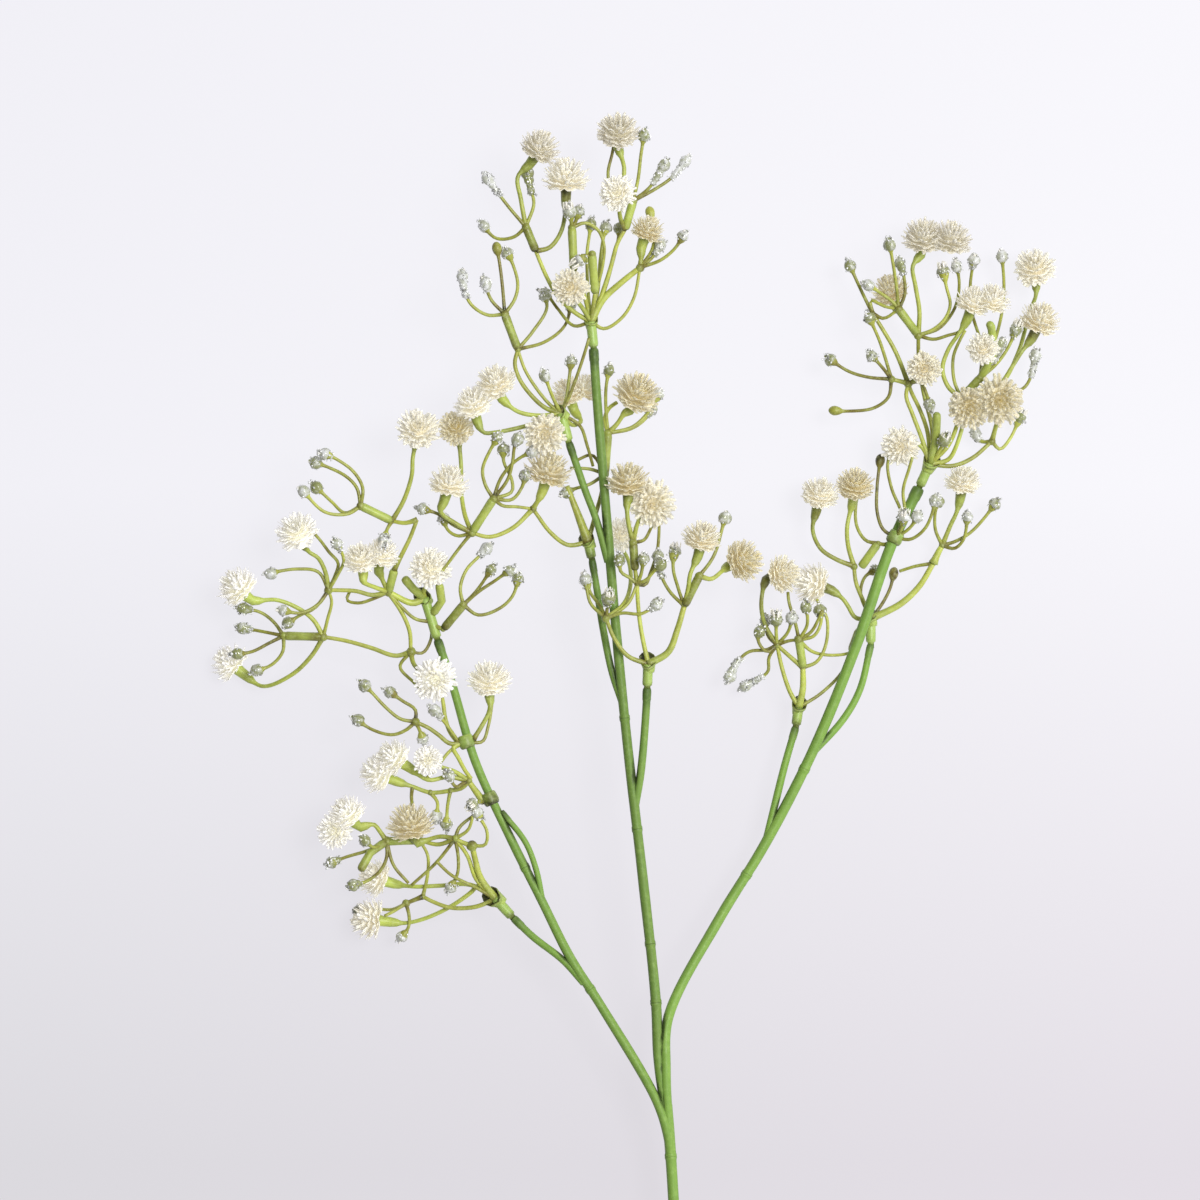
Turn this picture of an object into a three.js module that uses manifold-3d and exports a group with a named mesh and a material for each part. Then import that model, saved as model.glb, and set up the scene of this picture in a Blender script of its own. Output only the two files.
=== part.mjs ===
// A gypsophila stem lying on a surface, as three.js solids in millimetres with +Z up.
// The stem forks into three branches with short twigs. A spray moulding sits on the end of each, and each
// spray carries buds and layered blooms. Run in Node with the npm packages three and manifold-3d.

import * as THREE from 'three';
import { mergeVertices } from 'three/addons/utils/BufferGeometryUtils.js';
import Module from 'manifold-3d';

const wasm = await Module();
wasm.setup();

// --- Driving dimensions ---------------------------------------------------------------------------------

const UNIT = 0.38; // mm in one unit of the plan, a fortieth of a full bloom's width
const PLAN_CENTRE_X = 635.1; // plan unit that lies on the frame's Y axis
const PLAN_CENTRE_Y = 904.1; // plan unit that lies on the frame's X axis
const GAP = 0.3; // mm left free where a bloom sits on its calyx and a spray on its branch

const LIMB = { root: 1.4, tip: 1.05, sides: 4 }; // mm, the stoutest rays of a spray
const RAY = { root: 0.9, tip: 0.75, sides: 3 }; // mm, the first rays of a spray
const THREAD = { root: 0.68, tip: 0.6, sides: 3 }; // mm, the fine rays that carry buds
const SLEEVE = { end: 1.2, body: 1.65, lip: 1.35, sides: 4 }; // mm, the thick piece under a sub-hub
const NECK = { root: 1.9, tip: 1.9, sides: 6 }; // mm, the spray's foot in the branch's socket
const COLLAR = { root: 3, tip: 3, sides: 6 }; // mm, the ring of a spray that is threaded on a stem
const CALYX = { foot: 1.1, mouth: 1.75, length: 7.6, shoulder: 1.2 }; // mm, the cup under a bloom
const BUD = { length: 5.4, radius: 1.9, tip: 0.9 }; // mm, a closed bud
const OPENING = { length: 6.4, radius: 2.9, tip: 1.9 }; // mm, a bud that has begun to open
const STEM = { sides: 6, baseSides: 8 };
const RING = { length: 2.6, proud: 0.55 }; // mm, the raised joint on a stem
const RING_ROWS = [[-0.5, 0], [-0.2, 1], [0.2, 1], [0.5, 0]]; // its outline: along it and out, of RING

const KNOB_REACH = 1.15; // how far out a knob's six corners stand, of its radius
const SAG = 1; // mm, the furthest that a tube's straight run leaves its line
const SAMPLES = 16; // points of a run that are tried for it
const SMALLEST_DETAIL = 0.5; // mm, the finest step that a joined solid keeps
const PETALS = 6; // in each layer of a bloom
const BLOOM_SEED = 178;

// A bloom's rings of points from its foot to its middle, in bloom radii: how far out and how high it runs
// on a petal and between two petals. The upper layer's petals stand over the lower layer's gaps.
const LOWER_RIM = { petal: [1.0, 0.3], between: [0.74, 0.22], turned: false };
const CREASE = { petal: [0.4, 0.36], between: [0.4, 0.36], turned: false };
const UPPER_RIM = { petal: [0.74, 0.84], between: [0.5, 0.64], turned: true };
const BLOOM_RINGS = [LOWER_RIM, CREASE, UPPER_RIM];
const BLOOM_HEART = 0.5; // height of the middle
const BLOOM_SEAT = 0.45; // how far the calyx ends behind the bloom's place on the plan

// --- The plan -----------------------------------------------------------------------------------------------

// Lines of the stem, as [x, y, z] in plan units: x across, y from the tip of the plan down the stem, z up from
// the surface. radius is at the root and at the tip, and a ring is [stem, y].
const STEM_PLAN = {
  "base": {"radius": [5.8, 5.3], "path": [[704, 1692, 5.92], [684, 1378, 38], [671, 1158, 60], [667, 1106, 66]]},
  "centre": {
    "radius": [5.0, 4.4],
    "path": [[667, 1112, 65], [656, 1003, 75], [643, 880, 83], [628, 750, 89], [617, 640, 92], [606, 510, 94],
      [597, 400, 94], [593.5, 349, 93]],
  },
  "centre_left_twig": {"radius": [3.6, 3.4], "path": [[608, 562, 93], [597, 522, 97], [585, 490, 99], [569, 443, 100]]},
  "centre_middle_twig": {
    "radius": [3.6, 3.4],
    "path": [[622, 702, 90], [612, 672, 86], [603, 628, 83], [597, 590, 82], [592, 560, 82]],
  },
  "centre_right_twig": {"radius": [3.9, 3.8], "path": [[635, 806, 86], [641, 770, 91], [646, 710, 96], [647, 688, 98]]},
  "left": {
    "radius": [4.8, 4.0],
    "path": [[669, 1140, 62], [655, 1100, 65], [600, 1005, 70], [570, 958, 70], [541, 900, 69], [509, 836, 67],
      [475, 762, 64], [452, 685, 60], [437, 640, 58]],
  },
  "left_bottom_twig": {"radius": [3.6, 3.5], "path": [[584, 984, 70], [563, 961, 68], [533, 938, 62], [513, 919, 58]]},
  "left_lower_twig": {"radius": [3.0, 2.8], "path": [[542, 900, 69], [536, 870, 72], [525, 842, 72], [501, 812, 67]]},
  "right": {
    "radius": [4.8, 5.4],
    "path": [[669, 1130, 63], [665, 1070, 64], [669, 1018, 60], [720, 920, 46], [765, 847, 39.5], [815, 750, 40],
      [858, 645, 40], [893, 545, 37], [921, 487, 33]],
  },
  "right_lower_twig": {"radius": [3.7, 3.6], "path": [[765, 850, 39], [774, 814, 37], [786, 766, 34], [797, 728, 32]]},
  "right_side_twig": {"radius": [3.5, 3.4], "path": [[812, 756, 39], [845, 720, 31], [862, 690, 25], [873, 645, 19]]},
};

const STEM_RINGS = [
  ["base", 1158], ["centre", 1003], ["centre", 944], ["centre", 829], ["centre", 718],
  ["left", 990], ["left", 868], ["right", 876], ["right", 770],
];

// The spray mouldings. A knot is [x, y, z] with, where a knob sits, its radius. A shoot is its kind and the
// points that it runs through: knots by name, plan points, and last the bloom that it carries, if it has one.
// A point with no height takes it from its neighbours. A bloom's head is its place, the way it faces and its
// radius, and two heads of one bloom grow into each other.
const SPRIG_PLAN = {
  "sprig_centre_top": {
    "knots": {
      "hub": [591, 322, 93, 7], "left_foot": [536, 252, 104], "left": [526, 228, 108, 4.5],
      "right": [640, 268, 96, 4.5], "high_foot": [625, 230, 100], "high": [633, 202, 104, 4.5],
      "mid_foot": [574, 272, 106], "mid": [572, 229, 110, 4],
      "front_foot": [595, 294, 110], "front": [592, 256, 122, 4],
    },
    "shoots": [
      ["neck", [593.5, 346.6, 93], "hub"],
      ["ray", "hub", [575, 313], [558, 297], [548, 280], [540, 262], "left_foot"],
      ["sleeve", "left_foot", "left"],
      ["bud", "left", [508, 207], [484, 175, 118]],
      ["bud", "left", [514, 238], [496, 239], [480, 222, 100]],
      ["bud", "left", [534, 205], [531, 190], [526, 172, 98]],
      ["stalk", "left", [521, 200], [518, 178, 108], "bloom_01"],
      ["stalk", "left_foot", [550, 248], [562, 230, 96], "bloom_02"],
      ["bud", "hub", [574, 326], [558, 309], [549, 297], [540, 290, 76]],
      ["ray", "hub", [583, 292], "mid_foot"],
      ["sleeve", "mid_foot", "mid"],
      ["opening", "mid", [571, 220], [568, 207, 118]],
      ["bud", "mid", [576, 222], [580, 207, 112]],
      ["thread", "mid", [585, 224], [598, 231], [604, 246, 98]],
      ["bud", "hub", [588, 290], [587, 255], [589, 238], [592, 219, 98]],
      ["bud", "hub", [598, 290], [600, 262], [603, 240], [607, 222, 86]],
      ["bud", "hub", [604, 292], [612, 265], [618, 240], [621, 222, 80]],
      ["ray", "hub", "front_foot"],
      ["sleeve", "front_foot", "front"],
      ["opening", "front", [586, 258], [575, 265, 126]],
      ["stalk", "hub", [582, 308, 104], [574, 298, 114], "bloom_05"],
      ["limb", "hub", [603, 300], [620, 284], "right"],
      ["stalk", "right", [641, 258, 96], "bloom_06"],
      ["bud", "right", [660, 261], [674, 250], [686, 232, 104]],
      ["bud", "right", [652, 258], [663, 240, 84]],
      ["bud", "right", [652, 250], [654, 235], [649, 206, 72]],
      ["ray", "hub", [600, 300], [610, 270], [617, 245], "high_foot"],
      ["sleeve", "high_foot", "high"],
      ["bud", "high", [638, 180], [641, 155], [645, 131, 110]],
      ["stalk", "high", [624, 185], [624, 168, 104], "bloom_03"],
      ["thread", "high", [613, 192], [608, 175], [612, 155, 88]],
      ["bud", "high", [650, 188], [667, 161, 112]],
      ["bud", "high", [655, 190], [672, 178], [689, 157, 98]],
      ["stalk", "high_foot", [621, 222], [619, 210, 118], "bloom_04"],
      ["thread", "hub", [604, 329], [622, 318], [634, 298], "right"],
    ],
    "blooms": {
      "bloom_01": [[[541, 148, 112], [0.5, -0.8, 0.3], 19]],
      "bloom_02": [[[566, 177, 98], [0, -1, 0.2], 22]],
      "bloom_03": [[[618, 131, 112], [0, -0.75, 0.65], 20]],
      "bloom_04": [[[617, 195, 136], [-0.1, -0.15, 1], 17]],
      "bloom_05": [[[570, 289, 138], [-0.1, -0.1, 1], 17]],
      "bloom_06": [[[648, 230, 98], [0.35, -0.9, 0.25], 16]],
    },
  },
  "sprig_centre_left": {
    "knots": {"hub": [561, 414, 100, 7.5], "fork": [518, 350, 104, 3.5], "top": [505, 315, 110, 4.5]},
    "shoots": [
      ["neck", [568.3, 440.4, 100], "hub"],
      ["ray", "hub", [545, 408], [529, 393], [519, 378], [515, 364], "fork"],
      ["sleeve", "fork", "top"],
      ["bud", "top", [488, 316], [472, 306], [465, 292], [462, 271, 112]],
      ["bud", "top", [491, 300], [484, 278, 118]],
      ["bud", "top", [503, 290], [500, 265], [496, 243, 108]],
      ["bud", "top", [515, 300], [518, 285], [513, 265], [505, 249, 100]],
      ["bud", "fork", [533, 332], [547, 308], [542, 290, 96]],
      ["bud", "fork", [545, 342], [565, 325, 78], [572, 299, 70]],
      ["bud", "hub", [553, 398], [543, 371, 118]],
      ["stalk", "hub", [540, 416], [518, 412, 104], "bloom_07"],
      ["stalk", "hub", [545, 421], [520, 428], [495, 433], [484, 433, 110], "bloom_46"],
      ["stalk", "hub", [572, 425, 92], [581, 421, 80], "bloom_08"],
      ["bud", "hub", [566, 400], [569, 380], [572, 356, 98]],
      ["thread", "hub", [570, 395], [580, 368], [587, 346, 110]],
      ["stalk", "hub", [556, 424], [549, 432, 108], "bloom_09"],
    ],
    "blooms": {
      "bloom_07": [[[495, 382, 112], [-0.3, -0.75, 0.5], 19]],
      "bloom_46": [[[473, 403, 116], [-0.2, -0.85, 0.45], 18]],
      "bloom_08": [[[568, 392, 74], [-0.3, -0.9, 0.3], 17], [[586, 388, 68], [0.4, -0.9, 0.1], 16]],
      "bloom_09": [[[545, 435, 124], [0, 0.1, 1], 19]],
    },
  },
  "sprig_centre_middle": {
    "knots": {
      "hub": [588, 542, 82, 7.5], "front": [533, 509, 96, 4], "left": [472, 533, 100, 4.5],
      "inner": [494, 499, 112, 4.5], "back": [605, 474, 76, 4], "stub": [608, 433, 82, 4.5],
    },
    "shoots": [
      ["neck", [591.6, 557.4, 82], "hub"],
      ["limb", "hub", [580, 520], [567, 488, 86]],
      ["ray", "hub", [568, 545], [550, 532], [538, 516], "front"],
      ["stalk", "front", [538, 501, 102], "bloom_11"],
      ["ray", "front", [513, 528], [490, 537], "left"],
      ["stalk", "left", [455, 523], [441, 512, 110], "bloom_12"],
      ["stalk", "left", [465, 515], [461, 490, 78], [461, 465, 82], "bloom_10"],
      ["bud", "left", [458, 536], [448, 530], [442, 513, 90]],
      ["bud", "left", [455, 526], [438, 514], [417, 508, 100]],
      ["sleeve", "left", "inner"],
      ["bud", "inner", [486, 486], [483, 470], [490, 452], [501, 434, 118]],
      ["bud", "inner", [512, 492], [512, 480], [504, 462], [504, 444, 104]],
      ["bud", "inner", [508, 480], [513, 462], [515, 447], [521, 434, 122]],
      ["bud", "inner", [500, 481], [509, 468], [521, 458], [538, 450, 118]],
      ["thread", "inner", [503, 506], [517, 507], "front"],
      ["bud", "inner", [512, 500], [522, 488], [527, 470, 112]],
      ["ray", "hub", [594, 520], [601, 495], "back"],
      ["sleeve", "back", "stub"],
      ["bud", "back", [590, 484], [574, 489], [561, 495, 84]],
      ["ray", "stub", [605, 418], [609, 408], [617, 402, 70]],
      ["stalk", "stub", [617, 424], [624, 414, 84], "bloom_13"],
      ["bud", "stub", [632, 427], [645, 416], [654, 403], [661, 389, 74]],
      ["bud", "stub", [630, 429], [644, 420], [655, 404, 70]],
      ["bud", "stub", [606, 410], [606, 388], [610, 364, 68]],
    ],
    "blooms": {
      "bloom_10": [[[456, 427, 98], [-0.1, -0.4, 0.9], 17]],
      "bloom_11": [[[549, 470, 106], [0.25, -0.85, 0.2], 22]],
      "bloom_12": [[[450, 482, 116], [0.25, -0.9, 0.3], 19]],
      "bloom_13": [[[638, 392, 92], [0.3, -0.75, 0.5], 22]],
    },
  },
  "sprig_centre_right": {
    "knots": {
      "hub": [648, 664, 100, 8], "left": [606, 618, 110, 4.5], "fork": [637, 584, 106, 3], "up_foot": [635, 570, 108],
      "up": [633, 543, 110, 4.5], "right_foot": [684, 606, 104, 3], "right": [699, 576, 108, 4.5],
    },
    "shoots": [
      ["neck", [647.2, 685.4, 98], "hub"],
      ["ray", "hub", [628, 656], [614, 638], "left"],
      ["bud", "left", [591, 604], [587, 590], [584, 573, 104]],
      ["bud", "left", [622, 613], [640, 614], [650, 609], [661, 600, 116]],
      ["thread", "left", [619, 611], [629, 602], "fork"],
      ["opening", "left", [607, 610], [609, 592, 126]],
      ["stalk", "left", [622, 606, 104], [630, 588, 84], [629, 562, 58], "bloom_17"],
      ["limb", "hub", [641, 630], [638, 605], "fork"],
      ["ray", "fork", "up_foot"],
      ["sleeve", "up_foot", "up"],
      ["stalk", "up", [628, 522], [627, 508, 102], "bloom_14"],
      ["stalk", "up", [637, 525], [642, 514, 88], "bloom_47"],
      ["bud", "fork", [630, 578], [621, 572], [619, 554, 112]],
      ["bud", "fork", [646, 580], [654, 571], [665, 561, 116]],
      ["bud", "fork", [641, 574], [644, 554, 122]],
      ["limb", "hub", [668, 652], [677, 630], "right_foot"],
      ["sleeve", "right_foot", "right"],
      ["stalk", "right_foot", [688, 588], [690, 574, 112], "bloom_15"],
      ["bud", "right", [710, 562], [716, 550], [721, 532], [726, 512, 104]],
      ["stalk", "right", [711, 579], [722, 571, 98], "bloom_16"],
      ["bud", "right_foot", [670, 592], [661, 575], [657, 550, 96]],
      ["opening", "right_foot", [678, 588], [673, 568], [675, 546, 90]],
    ],
    "blooms": {
      "bloom_14": [[[628, 480, 104], [0, -0.9, 0.35], 20]],
      "bloom_47": [[[653, 504, 98], [0.15, 0.05, 1], 22]],
      "bloom_15": [[[702, 537, 116], [0.2, -0.9, 0.35], 18]],
      "bloom_16": [[[745, 560, 98], [0.8, -0.3, 0.5], 20]],
      "bloom_17": [[[622, 534, 62], [0.2, -0.3, 0.95], 16]],
    },
  },
  "sprig_left_top": {
    "knots": {
      "hub": [424, 598, 60, 7.5], "fork": [388, 592, 66, 4.5], "cup": [410, 652, 52, 5], "low": [322, 637, 50, 4.5],
      "low_tip": [282, 636, 44, 4.5], "side": [328, 590, 70, 4.5], "kink_foot": [394, 570, 76], "kink_top": [417, 520, 90],
      "kink": [392, 521, 84, 3], "kink_tip": [361, 506, 92, 4.5], "right_foot": [443, 629, 64, 3],
      "right": [463, 605, 72, 4.5],
    },
    "shoots": [
      ["neck", [436.2, 637.4, 58], [430, 617, 59], "hub"],
      ["limb", "hub", [412, 603], "fork"],
      ["thread", [431, 622, 59], [415, 619], [402, 608], "fork"],
      ["ray", "fork", [402, 614], [409, 632], "cup"],
      ["thread", [431, 620, 59], [430, 640, 48], [422, 653], "cup"],
      ["ray", "cup", [395, 656], [370, 648], [345, 641], "low"],
      ["sleeve", "low", "low_tip"],
      ["bud", "low_tip", [272, 622], [258, 612], [235, 608, 50]],
      ["bud", "low_tip", [262, 632], [234, 627, 34]],
      ["bud", "low_tip", [268, 643], [250, 652], [229, 655, 46]],
      ["bud", "low_tip", [281, 652], [270, 665], [249, 673, 40]],
      ["stalk", "low", [310, 656], [290, 675], [260, 687, 22], "bloom_20"],
      ["stalk", "low", [313, 621], [300, 610], [276, 600, 60], "bloom_19"],
      ["thread", "low", [327, 618], [331, 602], "side"],
      ["ray", "fork", [372, 595], [355, 591], "side"],
      ["bud", "side", [318, 572], [296, 569], [264, 574, 76]],
      ["stalk", "side", [325, 572], [318, 558], [309, 552, 82], "bloom_18"],
      ["bud", "side", [318, 604], [300, 613], [277, 609, 78]],
      ["bud", "side", [314, 608], [298, 616], [282, 627, 62]],
      ["stalk", "fork", [374, 587], [364, 582, 82], "bloom_21"],
      ["stalk", "fork", [383, 582, 70], [379, 572, 74], "bloom_21/2"],
      ["sleeve", "fork", "kink_foot"],
      ["ray", "kink_foot", [401, 556], [410, 538], "kink_top"],
      ["ray", "kink_top", [405, 523], "kink"],
      ["sleeve", "kink", "kink_tip"],
      ["bud", "kink_tip", [363, 488], [354, 472], [338, 460], [320, 452, 104]],
      ["bud", "kink_tip", [357, 488], [347, 477], [330, 468], [310, 461, 92]],
      ["bud", "kink_tip", [348, 514], [325, 512], [300, 487, 102]],
      ["bud", "kink_tip", [345, 513], [332, 502], [312, 483, 84]],
      ["stalk", "kink", [404, 500], [412, 475, 92], [413, 458, 94], "bloom_22"],
      ["opening", "kink", [387, 530], [384, 546, 98]],
      ["thread", "side", [335, 575], [338, 563], [329, 552], [321, 541, 92]],
      ["bud", "side", [338, 574], [344, 560], [335, 539, 104]],
      ["stalk", "hub", [423, 592, 66], [427, 584, 72], "bloom_23"],
      ["sleeve", "hub", [414, 590], [404, 578, 80]],
      ["sleeve", [431, 614, 60], [441, 603], [439, 584, 80]],
      ["ray", [433, 626, 59], "right_foot"],
      ["sleeve", "right_foot", "right"],
      ["bud", "right", [460, 588], [466, 570], [479, 556], [491, 544, 64]],
      ["bud", "right", [477, 590], [494, 565, 80]],
      ["bud", "right", [478, 592], [496, 580], [514, 567, 88]],
      ["bud", "right", [478, 615], [500, 608], [513, 595], [519, 573, 72]],
      ["stalk", "cup", [413, 664, 58], [424, 674, 70], "bloom_24"],
    ],
    "blooms": {
      "bloom_18": [[[296, 530, 88], [-0.3, -0.6, 0.75], 20]],
      "bloom_19": [[[236, 586, 66], [-0.7, -0.7, 0.3], 20]],
      "bloom_20": [[[226, 663, 18], [-0.75, -0.6, 0.1], 19]],
      "bloom_21": [[[361, 557, 90], [-0.1, -0.8, 0.55], 17], [[382, 553, 86], [0.2, -0.9, 0.4], 17]],
      "bloom_22": [[[419, 428, 104], [0.1, -0.5, 0.85], 20]],
      "bloom_23": [[[431, 567, 92], [0.2, -0.3, 0.95], 19]],
      "bloom_24": [[[435, 680, 90], [0, 0.1, 1], 20]],
    },
  },
  "sprig_left_middle": {
    "knots": {"hub": [466, 742, 63.4], "left": [415, 722, 72, 4.5]},
    "shoots": [
      ["collar", [468, 748.5, 63.7], [464, 735.5, 63]],
      ["ray", "hub", [450, 744], [438, 735], [428, 728], "left"],
      ["bud", "left", [400, 719], [385, 707], [372, 693], [360, 681, 78]],
      ["bud", "left", [415, 710], [402, 701], [385, 689, 70]],
      ["bud", "left", [406, 730], [392, 735], [372, 730], [352, 717, 66]],
      ["bud", "left", [419, 730], [424, 744, 60]],
      ["bud", [459, 744, 64], [452, 733], [444, 722], [430, 706, 80]],
      ["ray", [459, 744, 62], [450, 733], [445, 719], [444, 704, 70]],
      ["stalk", [473, 740, 63], [481, 727], [488, 714], [490, 705, 64], "bloom_25"],
      ["ray", "hub", [453, 748], [458, 758], [465, 771, 74]],
    ],
    "blooms": {
      "bloom_25": [[[489, 678, 72], [0, -0.8, 0.55], 20]],
    },
  },
  "sprig_left_lower": {
    "knots": {"hub": [490, 799, 65.6], "node": [468, 781, 72, 4], "under": [450, 791, 68, 3], "turn": [430, 793, 66, 3]},
    "shoots": [
      ["collar", [492.7, 805, 65.8], [487.2, 793, 65.4]],
      ["limb", [483, 802, 64], [475, 791], "node"],
      ["stalk", "node", [448, 777], [428, 780, 80], "bloom_26"],
      ["stalk", "node", [462, 788], "under", "turn", [412, 787, 66], "bloom_26/2"],
      ["stalk", "node", [455, 772], [441, 767, 82], "bloom_27"],
      ["bud", "node", [462, 784], [456, 787], [446, 770, 92]],
      ["opening", [482, 803, 66], [478, 802], [470, 807, 92]],
      ["bud", "under", [447, 808], [446, 831, 60]],
      ["bud", "turn", [437, 803], [434, 823, 56]],
    ],
    "blooms": {
      "bloom_26": [[[392, 757, 84], [-0.8, -0.5, 0.35], 18], [[377, 773, 74], [-0.85, -0.4, 0.3], 19]],
      "bloom_27": [[[428, 760, 100], [0, 0, 1], 14]],
    },
  },
  "sprig_left_bottom": {
    "knots": {
      "hub": [495, 900, 56, 9], "ring": [472, 846, 76, 5.5], "crown": [455, 839, 74, 4], "mid": [419, 841, 60],
      "side": [386, 842, 62, 5], "node": [422, 898, 48, 3], "low": [405, 905, 44, 4],
    },
    "shoots": [
      ["neck", [511, 917, 57.6], "hub"],
      ["limb", "hub", [480, 878], [475, 860], "ring"],
      ["ray", "hub", [476, 880], [467, 856], "crown"],
      ["ray", "ring", [463, 843], "crown"],
      ["thread", "ring", [485, 845], [487, 832], [480, 822, 84]],
      ["stalk", "crown", [440, 837], [428, 840, 66], "bloom_28"],
      ["ray", "crown", [438, 845], "mid"],
      ["sleeve", "mid", "side"],
      ["stalk", "side", [380, 833], [373, 825, 66], "bloom_29"],
      ["bud", "side", [374, 848], [361, 837, 84]],
      ["bud", "side", [368, 851], [345, 858], [325, 866, 56]],
      ["bud", "side", [386, 858], [380, 871], [366, 882, 62], [347, 887, 70]],
      ["sleeve", "side", [370, 853], [360, 871, 76]],
      ["stalk", "hub", [470, 886], [440, 887], [412, 888, 44], "bloom_30"],
      ["stalk", "hub", [479, 886], [470, 894], [450, 908], [425, 920], [405, 925, 34], "bloom_31"],
      ["ray", "hub", [475, 908], [450, 909], [432, 903], "node"],
      ["thread", "node", [427, 875], [427, 856], "mid"],
      ["ray", "node", [412, 902], "low"],
      ["bud", "low", [408, 918], [407, 930], [397, 943, 30]],
      ["bud", "low", [390, 912, 22], [372, 912, 8], [351, 913, 6]],
      ["thread", "crown", [437, 862], [411, 886, 62]],
      ["bud", "crown", [458, 858], [457, 875], [447, 893, 66]],
    ],
    "blooms": {
      "bloom_28": [[[410, 823, 72], [-0.2, -0.9, 0.3], 22]],
      "bloom_29": [[[346, 813, 74], [-0.6, -0.7, 0.3], 18], [[333, 831, 74], [-0.3, 0, 0.95], 17]],
      "bloom_30": [[[373, 879, 42], [-0.9, -0.3, 0.3], 18]],
      "bloom_31": [[[367, 921, 32], [-0.98, -0.15, 0.1], 20]],
    },
  },
  "sprig_right_top": {
    "knots": {
      "hub": [932, 463, 35, 8.5], "fork": [910, 382, 39, 4.5], "left": [893, 378, 43, 4], "far": [874, 312, 45, 3],
      "top": [920, 334, 43, 4.5], "top_left": [900, 308, 51, 4.5], "cross": [963, 397, 47, 4],
      "cross_tip": [982, 377, 53, 4.5], "right": [995, 440, 23, 4],
    },
    "shoots": [
      ["neck", [922.2, 484.6, 33], "hub"],
      ["ray", "hub", [924, 438], [914, 412], [908, 395], "fork"],
      ["ray", "hub", [930, 432], [922, 408, 29], [914, 392, 33], "fork"],
      ["ray", "fork", [897, 350], [883, 326], "far"],
      ["thread", "far", [872, 299], [886, 305], "top_left"],
      ["ray", "hub", [935, 430, 23], [926, 390, 21], [921, 360, 31], "top"],
      ["stalk", "top", [921, 310], [917, 285], [914, 265, 51], "bloom_32"],
      ["sleeve", "top", "top_left"],
      ["stalk", "top", [909, 320], [903, 310, 31], "bloom_33"],
      ["bud", "top_left", [893, 300], [880, 291], [864, 281, 63]],
      ["bud", "top_left", [897, 282], [893, 258], [889, 238, 69]],
      ["bud", "top_left", [906, 293], [905, 275], [900, 256, 57]],
      ["opening", "top", [935, 328], [947, 317], [952, 303], [948, 285], [944, 264, 47]],
      ["stalk", "cross", [950, 386], [944, 368], [950, 348], [960, 333, 53], "bloom_34"],
      ["thread", "cross", [956, 380], [955, 356], [961, 340, 47]],
      ["ray", "fork", "left"],
      ["bud", "left", [886, 355], [880, 338], [868, 312, 59]],
      ["bud", "left", [870, 376], [850, 370], [827, 355, 39]],
      ["bud", "left", [890, 396], [875, 407], [850, 410], [830, 409, 35]],
      ["bud", "left", [884, 367], [869, 351, 63]],
      ["bud", "far", [868, 300], [860, 283], [849, 258, 37]],
      ["bud", "cross_tip", [984, 345, 35], [975, 310, 21], [973, 285, 25], [977, 252, 35]],
      ["bud", "cross_tip", [997, 340, 37], [1006, 305, 21], [1007, 280, 25], [1004, 248, 33]],
      ["bud", "top", [942, 326, 29], [958, 305, 19], [962, 282, 25], [958, 258, 33]],
      ["ray", "hub", [950, 445], [960, 420], "cross"],
      ["sleeve", "cross", "cross_tip"],
      ["opening", "cross_tip", [998, 363], [1010, 346], [1020, 322, 57]],
      ["bud", "cross_tip", [994, 362], [1004, 338, 71]],
      ["stalk", "cross", [985, 394], [1003, 382], [1015, 364], [1024, 350, 51], "bloom_35"],
      ["stalk", "cross", [1000, 386, 37], [1022, 350, 17], [1033, 310, 21], [1039, 293, 29], "bloom_36"],
      ["thread", "cross", [1000, 391, 33], [1026, 387], [1037, 368], [1040, 345, 37]],
      ["stalk", "cross_tip", [988, 368, 59], "bloom_37"],
      ["sleeve", "cross_tip", [995, 352], [996, 338], [989, 322, 81]],
      ["stalk", "fork", [917, 378], [922, 373, 47], "bloom_38"],
      ["stalk", "hub", [950, 459, 35], [958, 446, 41], "bloom_39"],
      ["stalk", "right", [998, 428, 27], [1001, 415, 35], "bloom_39/2"],
      ["ray", "hub", [955, 465], [975, 457], "right"],
      ["bud", "right", [984, 440], [976, 426, 17]],
      ["opening", "right", [1003, 448], [1013, 438], [1026, 410, 17]],
      ["stalk", "hub", [924, 446], [911, 440, 35], "bloom_40"],
      ["opening", "hub", [940, 452], [948, 434, 59]],
      ["sleeve", "hub", [937, 445], [938, 412, 57]],
    ],
    "blooms": {
      "bloom_32": [[[925, 234, 55], [0.1, -0.85, 0.5], 20], [[953, 236, 53], [0.2, -0.9, 0.4], 20]],
      "bloom_33": [[[892, 288, 23], [-0.35, -0.85, 0.3], 18]],
      "bloom_34": [[[975, 300, 57], [0.3, -0.9, 0.3], 17], [[994, 298, 57], [0.3, -0.9, 0.3], 17]],
      "bloom_35": [[[1042, 318, 55], [0.35, -0.85, 0.35], 19]],
      "bloom_36": [[[1037, 264, 41], [-0.1, -0.7, 0.7], 20]],
      "bloom_37": [[[983, 348, 86], [0, -0.3, 0.95], 15]],
      "bloom_38": [[[925, 368, 65], [0, 0, 1], 16]],
      "bloom_39": [[[971, 408, 67], [0, 0.3, 0.9], 20], [[1001, 400, 69], [0.1, 0.1, 1], 23]],
      "bloom_40": [[[901, 446, 51], [-0.2, 0, 1], 18]],
    },
  },
  "sprig_right_middle": {
    "knots": {"hub": [897, 537, 36.6], "pod": [880, 543, 27, 3]},
    "shoots": [
      ["collar", [894, 543, 37], [900, 531, 36]],
      ["bud", "hub", [885, 529], [879, 512], [879, 485], [883, 453, 31]],
      ["ray", "hub", [888, 544], "pod"],
      ["bud", "pod", [868, 540], [859, 526], [858, 505], [865, 478, 13]],
      ["sleeve", "pod", [863, 567, 21]],
      ["thread", "hub", [912, 539], [926, 529], [934, 512], [936, 494, 51]],
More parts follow.
